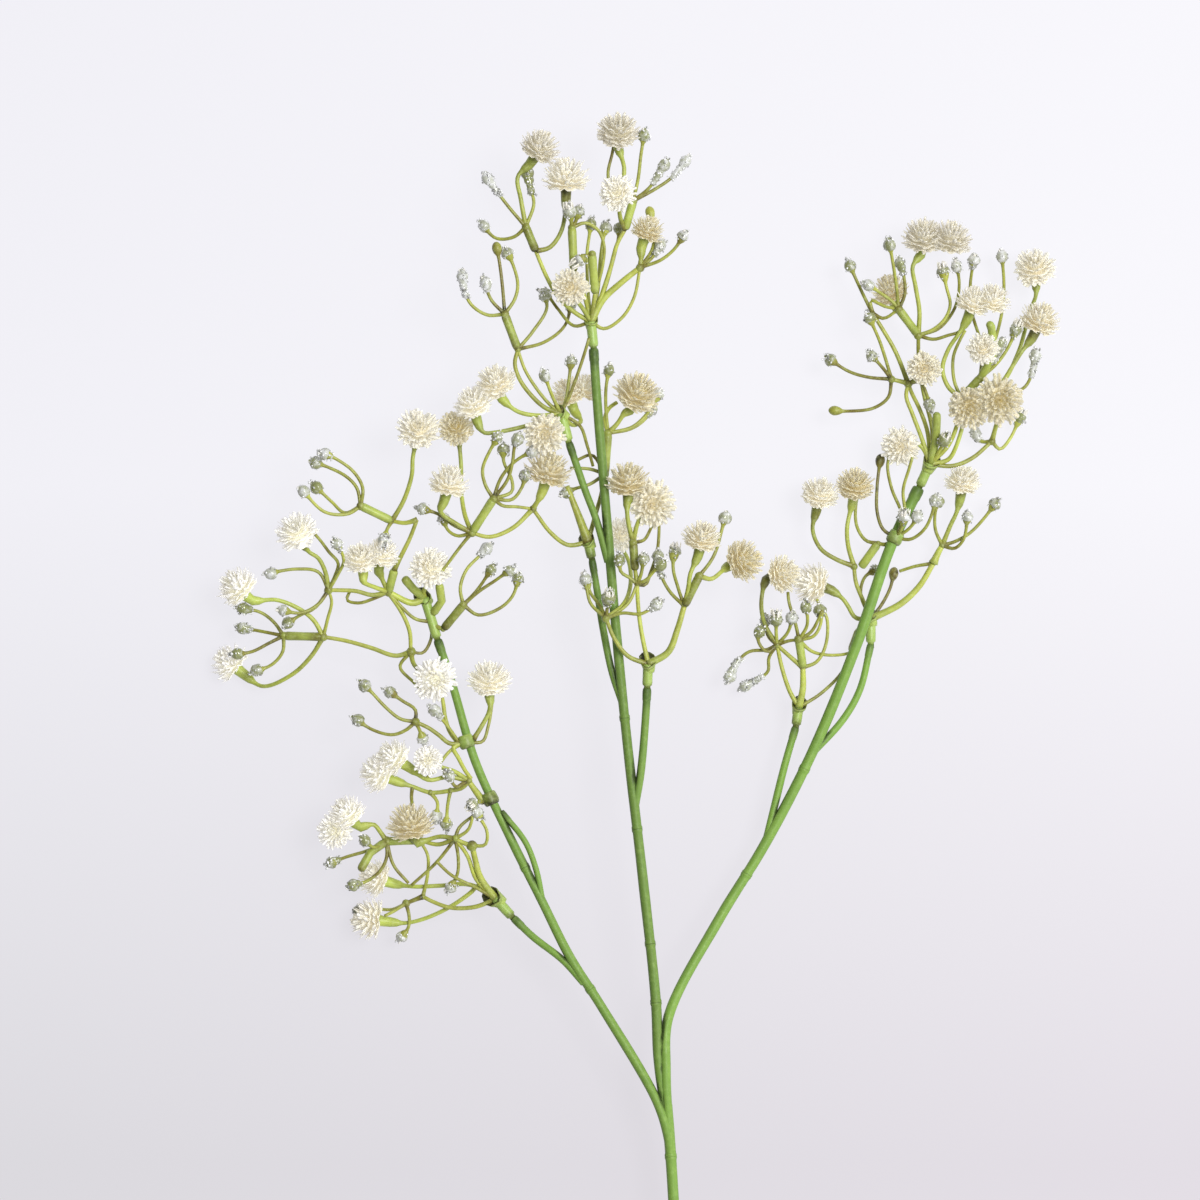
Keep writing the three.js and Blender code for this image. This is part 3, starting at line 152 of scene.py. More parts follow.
# The spray mouldings. A knot is [x, y, z] with, where a knob sits, its radius. A shoot is its kind and
# the points that it runs through: knots by name, plan points, and last the bloom that it carries, if any.
# A point with no height takes it from its neighbours. A bloom's head is its place, the way it faces and its
# radius, and two heads of one bloom grow into each other.
SPRIG_PLAN = {
  "sprig_centre_top": {
    "knots": {
      "hub": [591, 322, 93, 7], "left_foot": [536, 252, 104], "left": [526, 228, 108, 4.5],
      "right": [640, 268, 96, 4.5], "high_foot": [625, 230, 100], "high": [633, 202, 104, 4.5],
      "mid_foot": [574, 272, 106], "mid": [572, 229, 110, 4], "front_foot": [595, 294, 110],
      "front": [592, 256, 122, 4],
    },
    "shoots": [
      ["neck", [593.5, 346.6, 93], "hub"],
      ["ray", "hub", [575, 313], [558, 297], [548, 280], [540, 262], "left_foot"],
      ["sleeve", "left_foot", "left"],
      ["iced", "left", [508, 207], [484, 175, 118]],
      ["bud", "left", [514, 238], [496, 239], [480, 222, 100]],
      ["iced", "left", [534, 205], [531, 190], [526, 168, 98]],
      ["stalk", "left", [521, 200], [518, 178, 108], "bloom_01"],
      ["stalk", "left_foot", [550, 248], [562, 230, 96], "bloom_02"],
      ["bud", "hub", [574, 326], [558, 309], [549, 297], [540, 290, 76]],
      ["ray", "hub", [583, 292], "mid_foot"],
      ["sleeve", "mid_foot", "mid"],
      ["opening", "mid", [571, 220], [568, 207, 118]],
      ["bud", "mid", [576, 222], [580, 207, 112]],
      ["thread", "mid", [585, 224], [598, 231], [604, 246], [603, 264], [599, 282, 94]],
      ["bud", "hub", [588, 290], [587, 255], [589, 238], [592, 219, 98]],
      ["bud", "hub", [598, 290], [600, 262], [603, 240], [607, 222, 86]],
      ["bud", "hub", [604, 292], [612, 265], [618, 240], [621, 222, 80]],
      ["ray", "hub", "front_foot"],
      ["sleeve", "front_foot", "front"],
      ["opening", "front", [586, 258], [575, 265, 126]],
      ["stalk", "hub", [582, 308, 104], [574, 298, 114], "bloom_05"],
      ["limb", "hub", [603, 300], [620, 284], "right"],
      ["stalk", "right", [641, 258, 96], "bloom_06"],
      ["bud", "right", [660, 261], [674, 250], [686, 232, 104]],
      ["bud", "right", [652, 258], [663, 240, 84]],
      ["bare", "right", [652, 250], [654, 235], [649, 206, 72]],
      ["ray", "hub", [600, 300], [610, 270], [617, 245], "high_foot"],
      ["sleeve", "high_foot", "high"],
      ["bud", "high", [638, 180], [641, 155], [645, 131, 110]],
      ["stalk", "high", [624, 185], [624, 168, 104], "bloom_03"],
      ["thread", "high", [613, 192], [608, 175], [612, 155], [614, 144, 92]],
      ["iced", "high", [650, 188], [667, 161, 112]],
      ["iced", "high", [655, 190], [672, 178], [689, 157, 98]],
      ["stalk", "high_foot", [621, 222], [619, 210, 118], "bloom_04"],
      ["thread", "hub", [604, 329], [622, 318], [634, 298], "right"],
    ],
    "blooms": {
      "bloom_01": [[[541, 148, 112], [0.5, -0.8, 0.3], 19]],
      "bloom_02": [[[566, 177, 98], [0, -1, 0.2], 22]],
      "bloom_03": [[[618, 131, 112], [0, -0.75, 0.65], 20]],
      "bloom_04": [[[617, 195, 136], [-0.1, -0.15, 1], 17]],
      "bloom_05": [[[570, 289, 138], [-0.1, -0.1, 1], 17]],
      "bloom_06": [[[648, 230, 98], [0.35, -0.9, 0.25], 16]],
    },
  },
  "sprig_centre_left": {
    "knots": {"hub": [561, 414, 100, 7.5], "fork": [518, 350, 104, 3.5], "top": [505, 315, 110, 4.5]},
    "shoots": [
      ["neck", [568.3, 440.4, 100], "hub"],
      ["ray", "hub", [545, 408], [529, 393], [519, 378], [515, 364], "fork"],
      ["wisp", "hub", [549, 404], [536, 388], [525, 370], "fork"],
      ["sleeve", "fork", "top"],
      ["iced", "top", [488, 316], [472, 306], [465, 292], [462, 271, 112]],
      ["bud", "top", [491, 300], [484, 278, 118]],
      ["bare", "top", [503, 290], [500, 265], [496, 243, 108]],
      ["bud", "top", [515, 300], [518, 285], [513, 265], [505, 249, 100]],
      ["bud", "fork", [533, 332], [547, 308], [542, 290, 96]],
      ["bud", "fork", [545, 342], [565, 325, 78], [572, 299, 70]],
      ["bud", "hub", [553, 398], [543, 371, 118]],
      ["stalk", "hub", [540, 416], [518, 412, 104], "bloom_07"],
      ["stalk", "hub", [545, 421], [520, 428], [495, 433], [484, 433, 110], "bloom_46"],
      ["stalk", "hub", [572, 425, 92], [581, 421, 80], "bloom_08"],
      ["bud", "hub", [566, 400], [569, 380], [572, 356, 98]],
      ["thread", "hub", [570, 395], [580, 368], [587, 346], [589, 339, 108]],
      ["stalk", "hub", [556, 424], [549, 432, 108], "bloom_09"],
      ["wisp", "hub", [580, 426], [587, 445], [593, 466, 80]],
    ],
    "blooms": {
      "bloom_07": [[[495, 382, 112], [-0.3, -0.75, 0.5], 19]],
      "bloom_46": [[[473, 403, 116], [-0.2, -0.85, 0.45], 18]],
      "bloom_08": [[[568, 392, 74], [-0.3, -0.9, 0.3], 17], [[586, 388, 68], [0.4, -0.9, 0.1], 16]],
      "bloom_09": [[[545, 435, 124], [0, 0.1, 1], 19]],
    },
  },
  "sprig_centre_middle": {
    "knots": {
      "hub": [588, 542, 82, 7.5], "front": [533, 509, 96, 4], "left": [472, 533, 100, 4.5],
      "inner": [494, 499, 112, 4.5], "back": [605, 474, 76, 4], "stub": [608, 433, 82, 4.5],
    },
    "shoots": [
      ["neck", [591.6, 557.4, 82], "hub"],
      ["horn", "hub", [580, 520], [567, 486, 86]],
      ["ray", "hub", [568, 545], [550, 532], [538, 516], "front"],
      ["stalk", "front", [538, 501, 102], "bloom_11"],
      ["ray", "front", [513, 528], [490, 537], "left"],
      ["stalk", "left", [455, 523], [441, 512, 110], "bloom_12"],
      ["stalk", "left", [465, 515], [461, 490, 78], [461, 465, 82], "bloom_10"],
      ["bud", "left", [458, 536], [448, 530], [442, 513, 90]],
      ["bud", "left", [455, 526], [438, 514], [417, 508, 100]],
      ["wisp", "left", [462, 545], [441, 573, 92]],
      ["sleeve", "left", "inner"],
      ["bud", "inner", [486, 486], [483, 470], [490, 452], [501, 434, 118]],
      ["bud", "inner", [512, 492], [512, 480], [504, 462], [504, 444, 104]],
      ["bud", "inner", [508, 480], [513, 462], [515, 447], [521, 434, 122]],
      ["bud", "inner", [500, 481], [509, 468], [521, 458], [538, 450, 118]],
      ["thread", "inner", [503, 506], [517, 507], "front"],
      ["bud", "inner", [512, 500], [522, 488], [527, 470, 112]],
      ["ray", "hub", [594, 520], [601, 495], "back"],
      ["sleeve", "back", "stub"],
      ["wisp", "back", [590, 469], [570, 468, 80]],
      ["bud", "back", [590, 484], [574, 489], [561, 495, 84]],
      ["wisp", "back", [592, 455], [577, 460, 76]],
      ["ray", "stub", [605, 418], [609, 408], [617, 402, 70]],
      ["stalk", "stub", [617, 424], [624, 414, 84], "bloom_13"],
      ["bud", "stub", [632, 427], [645, 416], [654, 403], [661, 389, 74]],
      ["bud", "stub", [630, 429], [644, 420], [655, 404, 70]],
      ["bud", "stub", [606, 410], [606, 388], [610, 364, 68]],
    ],
    "blooms": {
      "bloom_10": [[[456, 427, 98], [-0.1, -0.4, 0.9], 17]],
      "bloom_11": [[[549, 470, 106], [0.25, -0.85, 0.2], 22]],
      "bloom_12": [[[450, 482, 116], [0.25, -0.9, 0.3], 19]],
      "bloom_13": [[[638, 392, 92], [0.3, -0.75, 0.5], 22]],
    },
  },
  "sprig_centre_right": {
    "knots": {
      "hub": [648, 664, 100, 8], "left": [606, 618, 110, 4.5], "fork": [637, 584, 106, 3],
      "up_foot": [635, 570, 108], "up": [633, 543, 110, 4.5], "right_foot": [684, 606, 104, 3],
      "right": [699, 576, 108, 4.5],
    },
    "shoots": [
      ["neck", [647.2, 685.4, 98], "hub"],
      ["ray", "hub", [628, 656], [614, 638], "left"],
      ["bud", "left", [591, 604], [587, 590], [584, 573, 104]],
      ["bud", "left", [600, 606], [590, 592], [585, 576, 98]],
      ["bud", "left", [622, 613], [640, 614], [650, 609], [661, 600, 116]],
      ["thread", "left", [619, 611], [629, 602], "fork"],
      ["opening", "left", [607, 610], [609, 592, 126]],
      ["stalk", "left", [622, 606, 104], [630, 588, 84], [629, 562, 58], "bloom_17"],
      ["ray", "hub", [641, 630], [638, 605], "fork"],
      ["ray", "fork", "up_foot"],
      ["sleeve", "up_foot", "up"],
      ["stalk", "up", [628, 522], [627, 508, 102], "bloom_14"],
      ["stalk", "up", [637, 525], [642, 514, 88], "bloom_47"],
      ["wisp", "up", [644, 540], [650, 530], [653, 523, 84]],
      ["bud", "fork", [630, 578], [621, 572], [619, 554, 112]],
      ["wisp", "fork", [645, 585], [650, 574], [657, 552], [659, 532], [659, 522, 82]],
      ["bud", "fork", [646, 580], [654, 571], [665, 561, 116]],
      ["bud", "fork", [641, 574], [644, 554, 122]],
      ["limb", "hub", [668, 652], [677, 630], "right_foot"],
      ["sleeve", "right_foot", "right"],
      ["stalk", "right_foot", [688, 588], [690, 574, 112], "bloom_15"],
      ["bud", "right", [710, 562], [716, 550], [721, 532], [726, 512, 104]],
      ["stalk", "right", [711, 579], [722, 571, 98], "bloom_16"],
      ["iced", "right_foot", [670, 592], [661, 575], [657, 550, 96]],
      ["opening", "right_foot", [678, 588], [673, 568], [675, 546, 90]],
    ],
    "blooms": {
      "bloom_14": [[[628, 480, 104], [0, -0.9, 0.35], 20]],
      "bloom_47": [[[653, 504, 98], [0.15, 0.05, 1], 22]],
      "bloom_15": [[[702, 537, 116], [0.2, -0.9, 0.35], 18]],
      "bloom_16": [[[745, 560, 98], [0.8, -0.3, 0.5], 20]],
      "bloom_17": [[[622, 534, 62], [0.2, -0.3, 0.95], 16]],
    },
  },
  "sprig_left_top": {
    "knots": {
      "hub": [424, 598, 60, 7.5], "fork": [388, 592, 66, 4.5], "cup": [410, 652, 52, 5],
      "low": [322, 637, 50, 4.5], "low_tip": [282, 636, 44, 4.5], "side": [328, 590, 70, 4.5],
      "kink_foot": [394, 570, 76], "kink_top": [417, 520, 90], "kink": [392, 521, 84, 3],
      "kink_tip": [361, 506, 92, 4.5], "right_foot": [443, 629, 64, 3], "right": [463, 605, 72, 4.5],
    },
    "shoots": [
      ["neck", [436.2, 637.4, 58], [430, 617, 59], "hub"],
      ["limb", "hub", [412, 603], "fork"],
      ["thread", [431, 622, 59], [415, 619], [402, 608], "fork"],
      ["ray", "fork", [402, 614], [409, 632], "cup"],
      ["thread", [431, 620, 59], [430, 640, 48], [422, 653], "cup"],
      ["ray", "cup", [395, 656], [370, 648], [345, 641], "low"],
      ["sleeve", "low", "low_tip"],
      ["bud", "low_tip", [272, 622], [258, 612], [235, 608, 50]],
      ["bud", "low_tip", [262, 632], [234, 627, 34]],
      ["bud", "low_tip", [268, 643], [250, 652], [229, 655, 46]],
      ["bud", "low_tip", [281, 652], [270, 665], [249, 673, 40]],
      ["stalk", "low", [310, 656], [290, 675], [260, 687, 22], "bloom_20"],
      ["stalk", "low", [313, 621], [300, 610], [276, 600, 60], "bloom_19"],
      ["thread", "low", [327, 618], [331, 602], "side"],
      ["ray", "fork", [372, 595], [355, 591], "side"],
      ["wisp", "fork", [372, 599], [358, 603], [346, 600], [349, 591, 54]],
      ["bud", "side", [318, 572], [296, 569], [264, 574, 76]],
      ["stalk", "side", [325, 572], [318, 558], [309, 552, 82], "bloom_18"],
      ["bud", "side", [318, 604], [300, 613], [277, 609, 78]],
      ["bud", "side", [314, 608], [298, 616], [282, 627, 62]],
      ["stalk", "fork", [374, 587], [364, 582, 82], "bloom_21"],
      ["stalk", "fork", [383, 582, 70], [379, 572, 74], "bloom_21/2"],
      ["sleeve", "fork", "kink_foot"],
      ["ray", "kink_foot", [401, 556], [410, 538], "kink_top"],
      ["ray", "kink_top", [405, 523], "kink"],
      ["sleeve", "kink", "kink_tip"],
      ["bud", "kink_tip", [363, 488], [354, 472], [338, 460], [320, 452, 104]],
      ["bud", "kink_tip", [357, 488], [347, 477], [330, 468], [310, 461, 92]],
      ["bud", "kink_tip", [348, 514], [325, 512], [300, 487, 102]],
      ["bud", "kink_tip", [345, 513], [332, 502], [312, 483, 84]],
      ["stalk", "kink", [404, 500], [412, 475, 92], [413, 458, 94], "bloom_22"],
      ["opening", "kink", [387, 530], [384, 546, 98]],
      ["thread", "side", [335, 575], [338, 563], [329, 552], [321, 541], [315, 534, 92]],
      ["bud", "side", [338, 574], [344, 560], [335, 539, 104]],
      ["stalk", "hub", [423, 592, 66], [427, 584, 72], "bloom_23"],
      ["sleeve", "hub", [414, 590], [404, 578, 80]],
      ["sleeve", [431, 614, 60], [441, 603], [439, 584, 80]],
      ["ray", [433, 626, 59], "right_foot"],
      ["sleeve", "right_foot", "right"],
      ["bud", "right", [460, 588], [466, 570], [479, 556], [491, 544, 64]],
      ["bud", "right", [477, 590], [494, 565, 80]],
      ["bud", "right", [478, 592], [496, 580], [514, 567, 88]],
      ["bud", "right", [478, 615], [500, 608], [513, 595], [519, 573, 72]],
      ["stalk", "cup", [413, 664, 58], [424, 674, 70], "bloom_24"],
      ["wisp", "cup", [399, 667], [413, 683], [419, 690, 42]],
    ],
    "blooms": {
      "bloom_18": [[[296, 530, 88], [-0.3, -0.6, 0.75], 20]],
      "bloom_19": [[[236, 586, 66], [-0.7, -0.7, 0.3], 20]],
      "bloom_20": [[[226, 663, 18], [-0.75, -0.6, 0.1], 19]],
      "bloom_21": [[[361, 557, 90], [-0.1, -0.8, 0.55], 17], [[382, 553, 86], [0.2, -0.9, 0.4], 17]],
      "bloom_22": [[[419, 428, 104], [0.1, -0.5, 0.85], 20]],
      "bloom_23": [[[431, 567, 92], [0.2, -0.3, 0.95], 19]],
      "bloom_24": [[[435, 680, 90], [0, 0.1, 1], 20]],
    },
  },
  "sprig_left_middle": {
    "knots": {"hub": [466, 742, 63.4], "left": [415, 722, 72, 4.5]},
    "shoots": [
      ["collar", [468, 748.5, 63.7], [464, 735.5, 63]],
      ["ray", "hub", [450, 744], [438, 735], [428, 728], "left"],
      ["bud", "left", [400, 719], [385, 707], [372, 693], [360, 681, 78]],
      ["bud", "left", [415, 710], [402, 701], [385, 689, 70]],
      ["bud", "left", [406, 730], [392, 735], [372, 730], [352, 717, 66]],
      ["bud", "left", [419, 730], [424, 744, 60]],
      ["bud", [459, 744, 64], [452, 733], [444, 722], [430, 706, 80]],
      ["ray", [459, 744, 62], [450, 733], [445, 719], [443, 704], [441, 694, 70]],
      ["stalk", [473, 740, 63], [481, 727], [488, 714], [490, 705, 64], "bloom_25"],
      ["wisp", "hub", [482, 742], [488, 726], [491, 709], [492, 699, 56]],
      ["ray", "hub", [453, 748], [458, 758], [465, 771], [471, 779, 74]],
      ["wisp", "hub", [450, 751], [440, 763], [430, 775], [424, 780, 70]],
    ],
    "blooms": {
      "bloom_25": [[[489, 678, 72], [0, -0.8, 0.55], 20]],
    },
  },
  "sprig_left_lower": {
    "knots": {"hub": [490, 799, 65.6], "node": [468, 781, 72, 4], "under": [450, 791, 68, 3],
      "turn": [430, 793, 66, 3]},
    "shoots": [
      ["collar", [492.7, 805, 65.8], [487.2, 793, 65.4]],
      ["limb", [483, 802, 64], [475, 791], "node"],
      ["stalk", "node", [448, 777], [428, 780, 80], "bloom_26"],
      ["stalk", "node", [462, 788], "under", "turn", [412, 787, 66], "bloom_26/2"],
      ["stalk", "node", [455, 772], [441, 767, 82], "bloom_27"],
      ["wisp", [412, 787, 66], [411, 800], [421, 838, 50]],
      ["bud", "node", [462, 784], [456, 787], [446, 770, 92]],
      ["opening", [482, 803, 66], [478, 802], [470, 807, 92]],
      ["bud", "under", [447, 808], [446, 831, 60]],
      ["bud", "turn", [437, 803], [434, 823, 56]],
    ],
    "blooms": {
      "bloom_26": [[[392, 757, 84], [-0.8, -0.5, 0.35], 18], [[377, 773, 74], [-0.85, -0.4, 0.3], 19]],
      "bloom_27": [[[428, 760, 100], [0, 0, 1], 14]],
    },
  },
  "sprig_left_bottom": {
    "knots": {
      "hub": [495, 900, 56, 9], "ring": [472, 846, 76, 5.5], "crown": [455, 839, 74, 4],
      "mid": [419, 841, 60], "side": [386, 842, 62, 5], "node": [422, 898, 48, 3],
      "low": [405, 905, 44, 4],
    },
    "shoots": [
      ["neck", [511, 917, 57.6], "hub"],
      ["limb", "hub", [480, 878], [475, 860], "ring"],
      ["ray", "hub", [476, 880], [467, 856], "crown"],
      ["ray", "ring", [463, 843], "crown"],
      ["bud", "ring", [485, 845], [487, 832], [480, 818], [475, 808, 84]],
      ["wisp", "crown", [459, 828], [473, 816, 68]],
      ["wisp", "crown", [468, 830], [473, 816, 84]],
      ["stalk", "crown", [440, 837], [428, 840, 66], "bloom_28"],
      ["ray", "crown", [438, 845], "mid"],
      ["sleeve", "mid", "side"],
      ["stalk", "side", [380, 833], [373, 825, 66], "bloom_29"],
      ["bud", "side", [374, 848], [361, 837, 84]],
      ["bud", "side", [368, 851], [345, 858], [325, 866, 56]],
      ["bud", "side", [386, 858], [380, 871], [366, 882, 62], [347, 887, 70]],
      ["sleeve", "side", [370, 853], [360, 871, 76]],
      ["wisp", "side", [393, 866], [408, 884, 62]],
      ["stalk", "hub", [470, 886], [440, 887], [412, 888, 44], "bloom_30"],
      ["stalk", "hub", [479, 886], [470, 894], [450, 908], [425, 920], [405, 925, 34], "bloom_31"],
      ["ray", "hub", [475, 908], [450, 909], [432, 903], "node"],
      ["thread", "node", [427, 875], [427, 856], "mid"],
      ["ray", "node", [412, 902], "low"],
      ["bud", "low", [408, 918], [407, 930], [397, 943, 30]],
      ["wisp", "low", [392, 913], [384, 917, 56]],
      ["bud", "low", [390, 912, 22], [372, 912, 8], [351, 913, 6]],
      ["thread", "crown", [437, 862], [411, 886, 62]],
      ["bud", "crown", [458, 858], [457, 875], [447, 893, 66]],
      ["wisp", "hub", [475, 888], [452, 876], [436, 861, 84]],
    ],
    "blooms": {
      "bloom_28": [[[410, 823, 72], [-0.2, -0.9, 0.3], 22]],
      "bloom_29": [[[346, 813, 74], [-0.6, -0.7, 0.3], 18], [[333, 831, 74], [-0.3, 0, 0.95], 17]],
      "bloom_30": [[[373, 879, 42], [-0.9, -0.3, 0.3], 18]],
      "bloom_31": [[[367, 921, 32], [-0.98, -0.15, 0.1], 20]],
    },
  },
  "sprig_right_top": {
    "knots": {
      "hub": [932, 463, 35, 8.5], "fork": [910, 382, 39, 4.5], "left": [893, 378, 43, 4],
      "far": [874, 312, 45, 3], "top": [920, 334, 43, 4.5], "top_left": [900, 308, 51, 4.5],
      "cross": [963, 397, 47, 4], "cross_tip": [982, 377, 53, 4.5], "right": [995, 440, 23, 4],
    },
    "shoots": [
      ["neck", [922.2, 484.6, 33], "hub"],
      ["ray", "hub", [924, 438], [914, 412], [908, 395], "fork"],
      ["ray", "hub", [930, 432], [922, 408, 29], [914, 392, 33], "fork"],
      ["ray", "fork", [897, 350], [883, 326], "far"],
      ["wisp", "far", [885, 317], "top_left"],
      ["thread", "far", [872, 299], [886, 305], "top_left"],
      ["ray", "hub", [935, 430, 23], [926, 390, 21], [921, 360, 31], "top"],
      ["stalk", "top", [921, 310], [917, 285], [914, 265, 51], "bloom_32"],
      ["sleeve", "top", "top_left"],
      ["stalk", "top", [909, 320], [903, 310, 31], "bloom_33"],
      ["bud", "top_left", [893, 300], [880, 291], [864, 281, 63]],
      ["bud", "top_left", [897, 282], [893, 258], [889, 238, 69]],
      ["bud", "top_left", [906, 293], [905, 275], [900, 256, 57]],
      ["opening", "top", [935, 328], [947, 317], [952, 303], [948, 285], [944, 264, 47]],
      ["wisp", "top", [935, 338], [950, 334], [960, 331], [967, 324, 51]],
      ["stalk", "cross", [950, 386], [944, 368], [950, 348], [960, 333, 53], "bloom_34"],
      ["thread", "cross", [956, 380], [955, 356], [961, 340], [967, 329, 47]],
      ["ray", "fork", "left"],
      ["bud", "left", [886, 355], [880, 338], [868, 312, 59]],
      ["bud", "left", [870, 376], [850, 370], [827, 355, 39]],
      ["bare", "left", [890, 396], [875, 407], [850, 410], [830, 409, 35]],
      ["bud", "left", [884, 367], [869, 351, 63]],
      ["bud", "fork", [922, 381], [928, 392], [933, 410, 43]],
      ["bud", "far", [868, 300], [860, 283], [849, 258, 37]],
      ["bud", "cross_tip", [984, 345, 35], [975, 310, 21], [973, 285, 25], [977, 252, 35]],
      ["bud", "cross_tip", [997, 340, 37], [1006, 305, 21], [1007, 280, 25], [1004, 248, 33]],
      ["bud", "top", [942, 326, 29], [958, 305, 19], [962, 282, 25], [958, 258, 33]],
      ["ray", "hub", [950, 445], [960, 420], "cross"],
      ["sleeve", "cross", "cross_tip"],
      ["opening", "cross_tip", [998, 363], [1010, 346], [1020, 322, 57]],
      ["iced", "cross_tip", [994, 362], [1004, 338, 71]],
      ["stalk", "cross", [985, 394], [1003, 382], [1015, 364], [1024, 350, 51], "bloom_35"],
      ["stalk", "cross", [1000, 386, 37], [1022, 350, 17], [1033, 310, 21], [1039, 293, 29], "bloom_36"],
      ["iced", "cross", [1000, 391, 33], [1026, 387], [1036, 368], [1039, 348, 37]],
      ["stalk", "cross_tip", [988, 368, 59], "bloom_37"],
      ["sleeve", "cross_tip", [995, 352], [996, 338], [989, 322, 81]],
      ["stalk", "fork", [917, 378], [922, 373, 47], "bloom_38"],
      ["stalk", "hub", [950, 459, 35], [958, 446, 41], "bloom_39"],
      ["stalk", "right", [998, 428, 27], [1001, 415, 35], "bloom_39/2"],
      ["ray", "hub", [955, 465], [975, 457], "right"],
      ["bud", "right", [984, 440], [976, 426, 17]],
      ["opening", "right", [1003, 448], [1013, 438], [1026, 410, 17]],
      ["stalk", "hub", [924, 446], [911, 440, 35], "bloom_40"],
      ["opening", "hub", [940, 452], [948, 434, 59]],
      ["sleeve", "hub", [937, 445], [938, 412, 57]],
    ],
    "blooms": {
      "bloom_32": [[[925, 234, 55], [0.1, -0.85, 0.5], 20], [[953, 236, 53], [0.2, -0.9, 0.4], 20]],
      "bloom_33": [[[892, 288, 23], [-0.35, -0.85, 0.3], 18]],
      "bloom_34": [[[975, 300, 57], [0.3, -0.9, 0.3], 17], [[994, 298, 57], [0.3, -0.9, 0.3], 17]],
      "bloom_35": [[[1042, 318, 55], [0.35, -0.85, 0.35], 19]],
      "bloom_36": [[[1037, 264, 41], [-0.1, -0.7, 0.7], 20]],
      "bloom_37": [[[983, 348, 86], [0, -0.3, 0.95], 15]],
      "bloom_38": [[[925, 368, 65], [0, 0, 1], 16]],
      "bloom_39": [[[971, 408, 67], [0, 0.3, 0.9], 20], [[1001, 400, 69], [0.1, 0.1, 1], 23]],
      "bloom_40": [[[901, 446, 51], [-0.2, 0, 1], 18]],
    },
  },
  "sprig_right_middle": {
    "knots": {"hub": [897, 537, 36.6], "pod": [880, 543, 27, 3]},
    "shoots": [
      ["collar", [894, 543, 37], [900, 531, 36]],
      ["bare", "hub", [885, 529], [879, 512], [879, 485], [883, 453, 31]],
      ["ray", "hub", [888, 544], "pod"],
      ["bud", "pod", [868, 540], [859, 526], [858, 505], [865, 478, 13]],
      ["sleeve", "pod", [863, 567, 21]],
      ["bud", "hub", [912, 539], [926, 529], [934, 512], [937, 494, 51]],
      ["wisp", "hub", [904, 518, 53], [893, 488], [889, 466], [891, 453, 43]],
      ["thread", "hub", [906, 516, 57], [904, 490], [910, 468], [913, 457, 67]],
      ["opening", "hub", [903, 528, 51], [905, 511, 63]],
      ["bud", "hub", [911, 528, 45], [922, 511, 51]],
    ],
    "blooms": {},
  },
  "sprig_right_side": {
    "knots": {
      "hub": [873, 619, 17, 7.5], "bend": [936, 563, 21, 3], "right": [945, 545, 23, 3.5],
      "up": [856, 566, 21, 4],
    },
    "shoots": [
      ["neck", [873.1, 642.4, 18.6], "hub"],
      ["limb", "hub", [903, 604], [922, 586], "bend"],
      ["limb", "bend", [941, 552], "right"],
      ["stalk", "right", [953, 525], [959, 512, 29], "bloom_41"],
      ["wisp", "bend", [918, 566], [902, 571, 15]],
      ["bare", "hub", [884, 605], [893, 588], [898, 567, 2]],
      ["bud", "right", [957, 548], [966, 539], [970, 511, 41]],
      ["bud", "right", [958, 541], [972, 533], [985, 520], [1001, 499, 29]],
      ["bud", "right", [938, 530], [937, 515], [941, 495, 43]],
      ["ray", "hub", [865, 600], [858, 582], "up"],
      ["stalk", "up", [850, 545], [849, 526, 27], "bloom_42"],
      ["stalk", "up", [838, 559], [822, 548], [814, 529, 33], "bloom_43"],
      ["bud", "hub", [863, 594, 15], [868, 576, 11], [884, 568, 7]],
      ["stalk", "hub", [858, 618], [850, 606], [845, 599, 19], "bloom_44"],
      ["sleeve", "hub", [861, 632], [854, 652, 5]],
    ],
    "blooms": {
      "bloom_41": [[[965, 479, 35], [0.1, -0.9, 0.4], 17]],
      "bloom_42": [[[857, 483, 37], [0.1, -0.8, 0.55], 18]],
      "bloom_43": [[[821, 492, 43], [0.15, -0.85, 0.45], 18]],
      "bloom_44": [[[813, 583, 21], [-0.9, -0.3, 0.3], 20]],
    },
  },
  "sprig_right_lower": {
    "knots": {
      "hub": [800, 708, 32, 7.5], "top_foot": [804, 668, 41, 3], "top": [800, 640, 47, 5],
      "left": [778, 645, 39, 3.5],
    },
    "shoots": [
      ["neck", [797.5, 725.4, 32], "hub"],
      ["limb", "hub", [804, 690], "top_foot"],
      ["sleeve", "top_foot", "top"],
      ["wisp", "top", [812, 632], [819, 620], [823, 610, 57]],
      ["wisp", "top", [796, 622], [790, 602], [789, 592, 39]],
      ["bud", "top", [808, 625], [806, 601, 63]],
      ["bud", "top", [815, 636], [822, 622], [820, 604, 51]],
      ["thread", "top", [812, 651], [825, 655], [844, 655], [856, 652, 25]],
      ["wisp", "top_foot", [818, 662], [827, 645], [828, 618], [821, 606], [818, 599, 43]],
      ["ray", "top_foot", [790, 656], "left"],
      ["thread", "left", [790, 641], "top"],
      ["ray", "hub", [791, 692], [783, 668], "left"],
      ["opening", "left", [777, 632], [777, 613, 59]],
      ["bud", "left", [769, 636], [766, 614, 33]],
      ["bud", "left", [789, 632], [794, 612, 55]],
      ["stalk", "left", [766, 625], [762, 603, 49], "bloom_45"],
      ["iced", "left", [768, 650], [750, 652], [737, 664], [728, 683, 33]],
      ["iced", "left", [770, 658], [769, 672], [757, 681], [741, 690, 23]],
      ["bud", "left", [768, 652], [759, 641], [762, 626, 47]],
      ["thread", "hub", [820, 696], [838, 680], [845, 671], [853, 660, 21]],
    ],
    "blooms": {
      "bloom_45": [[[785, 574, 61], [0.85, -0.2, 0.5], 18]],
    },
  },
}


# --- From the plan to the frame -------------------------------------------------------------------


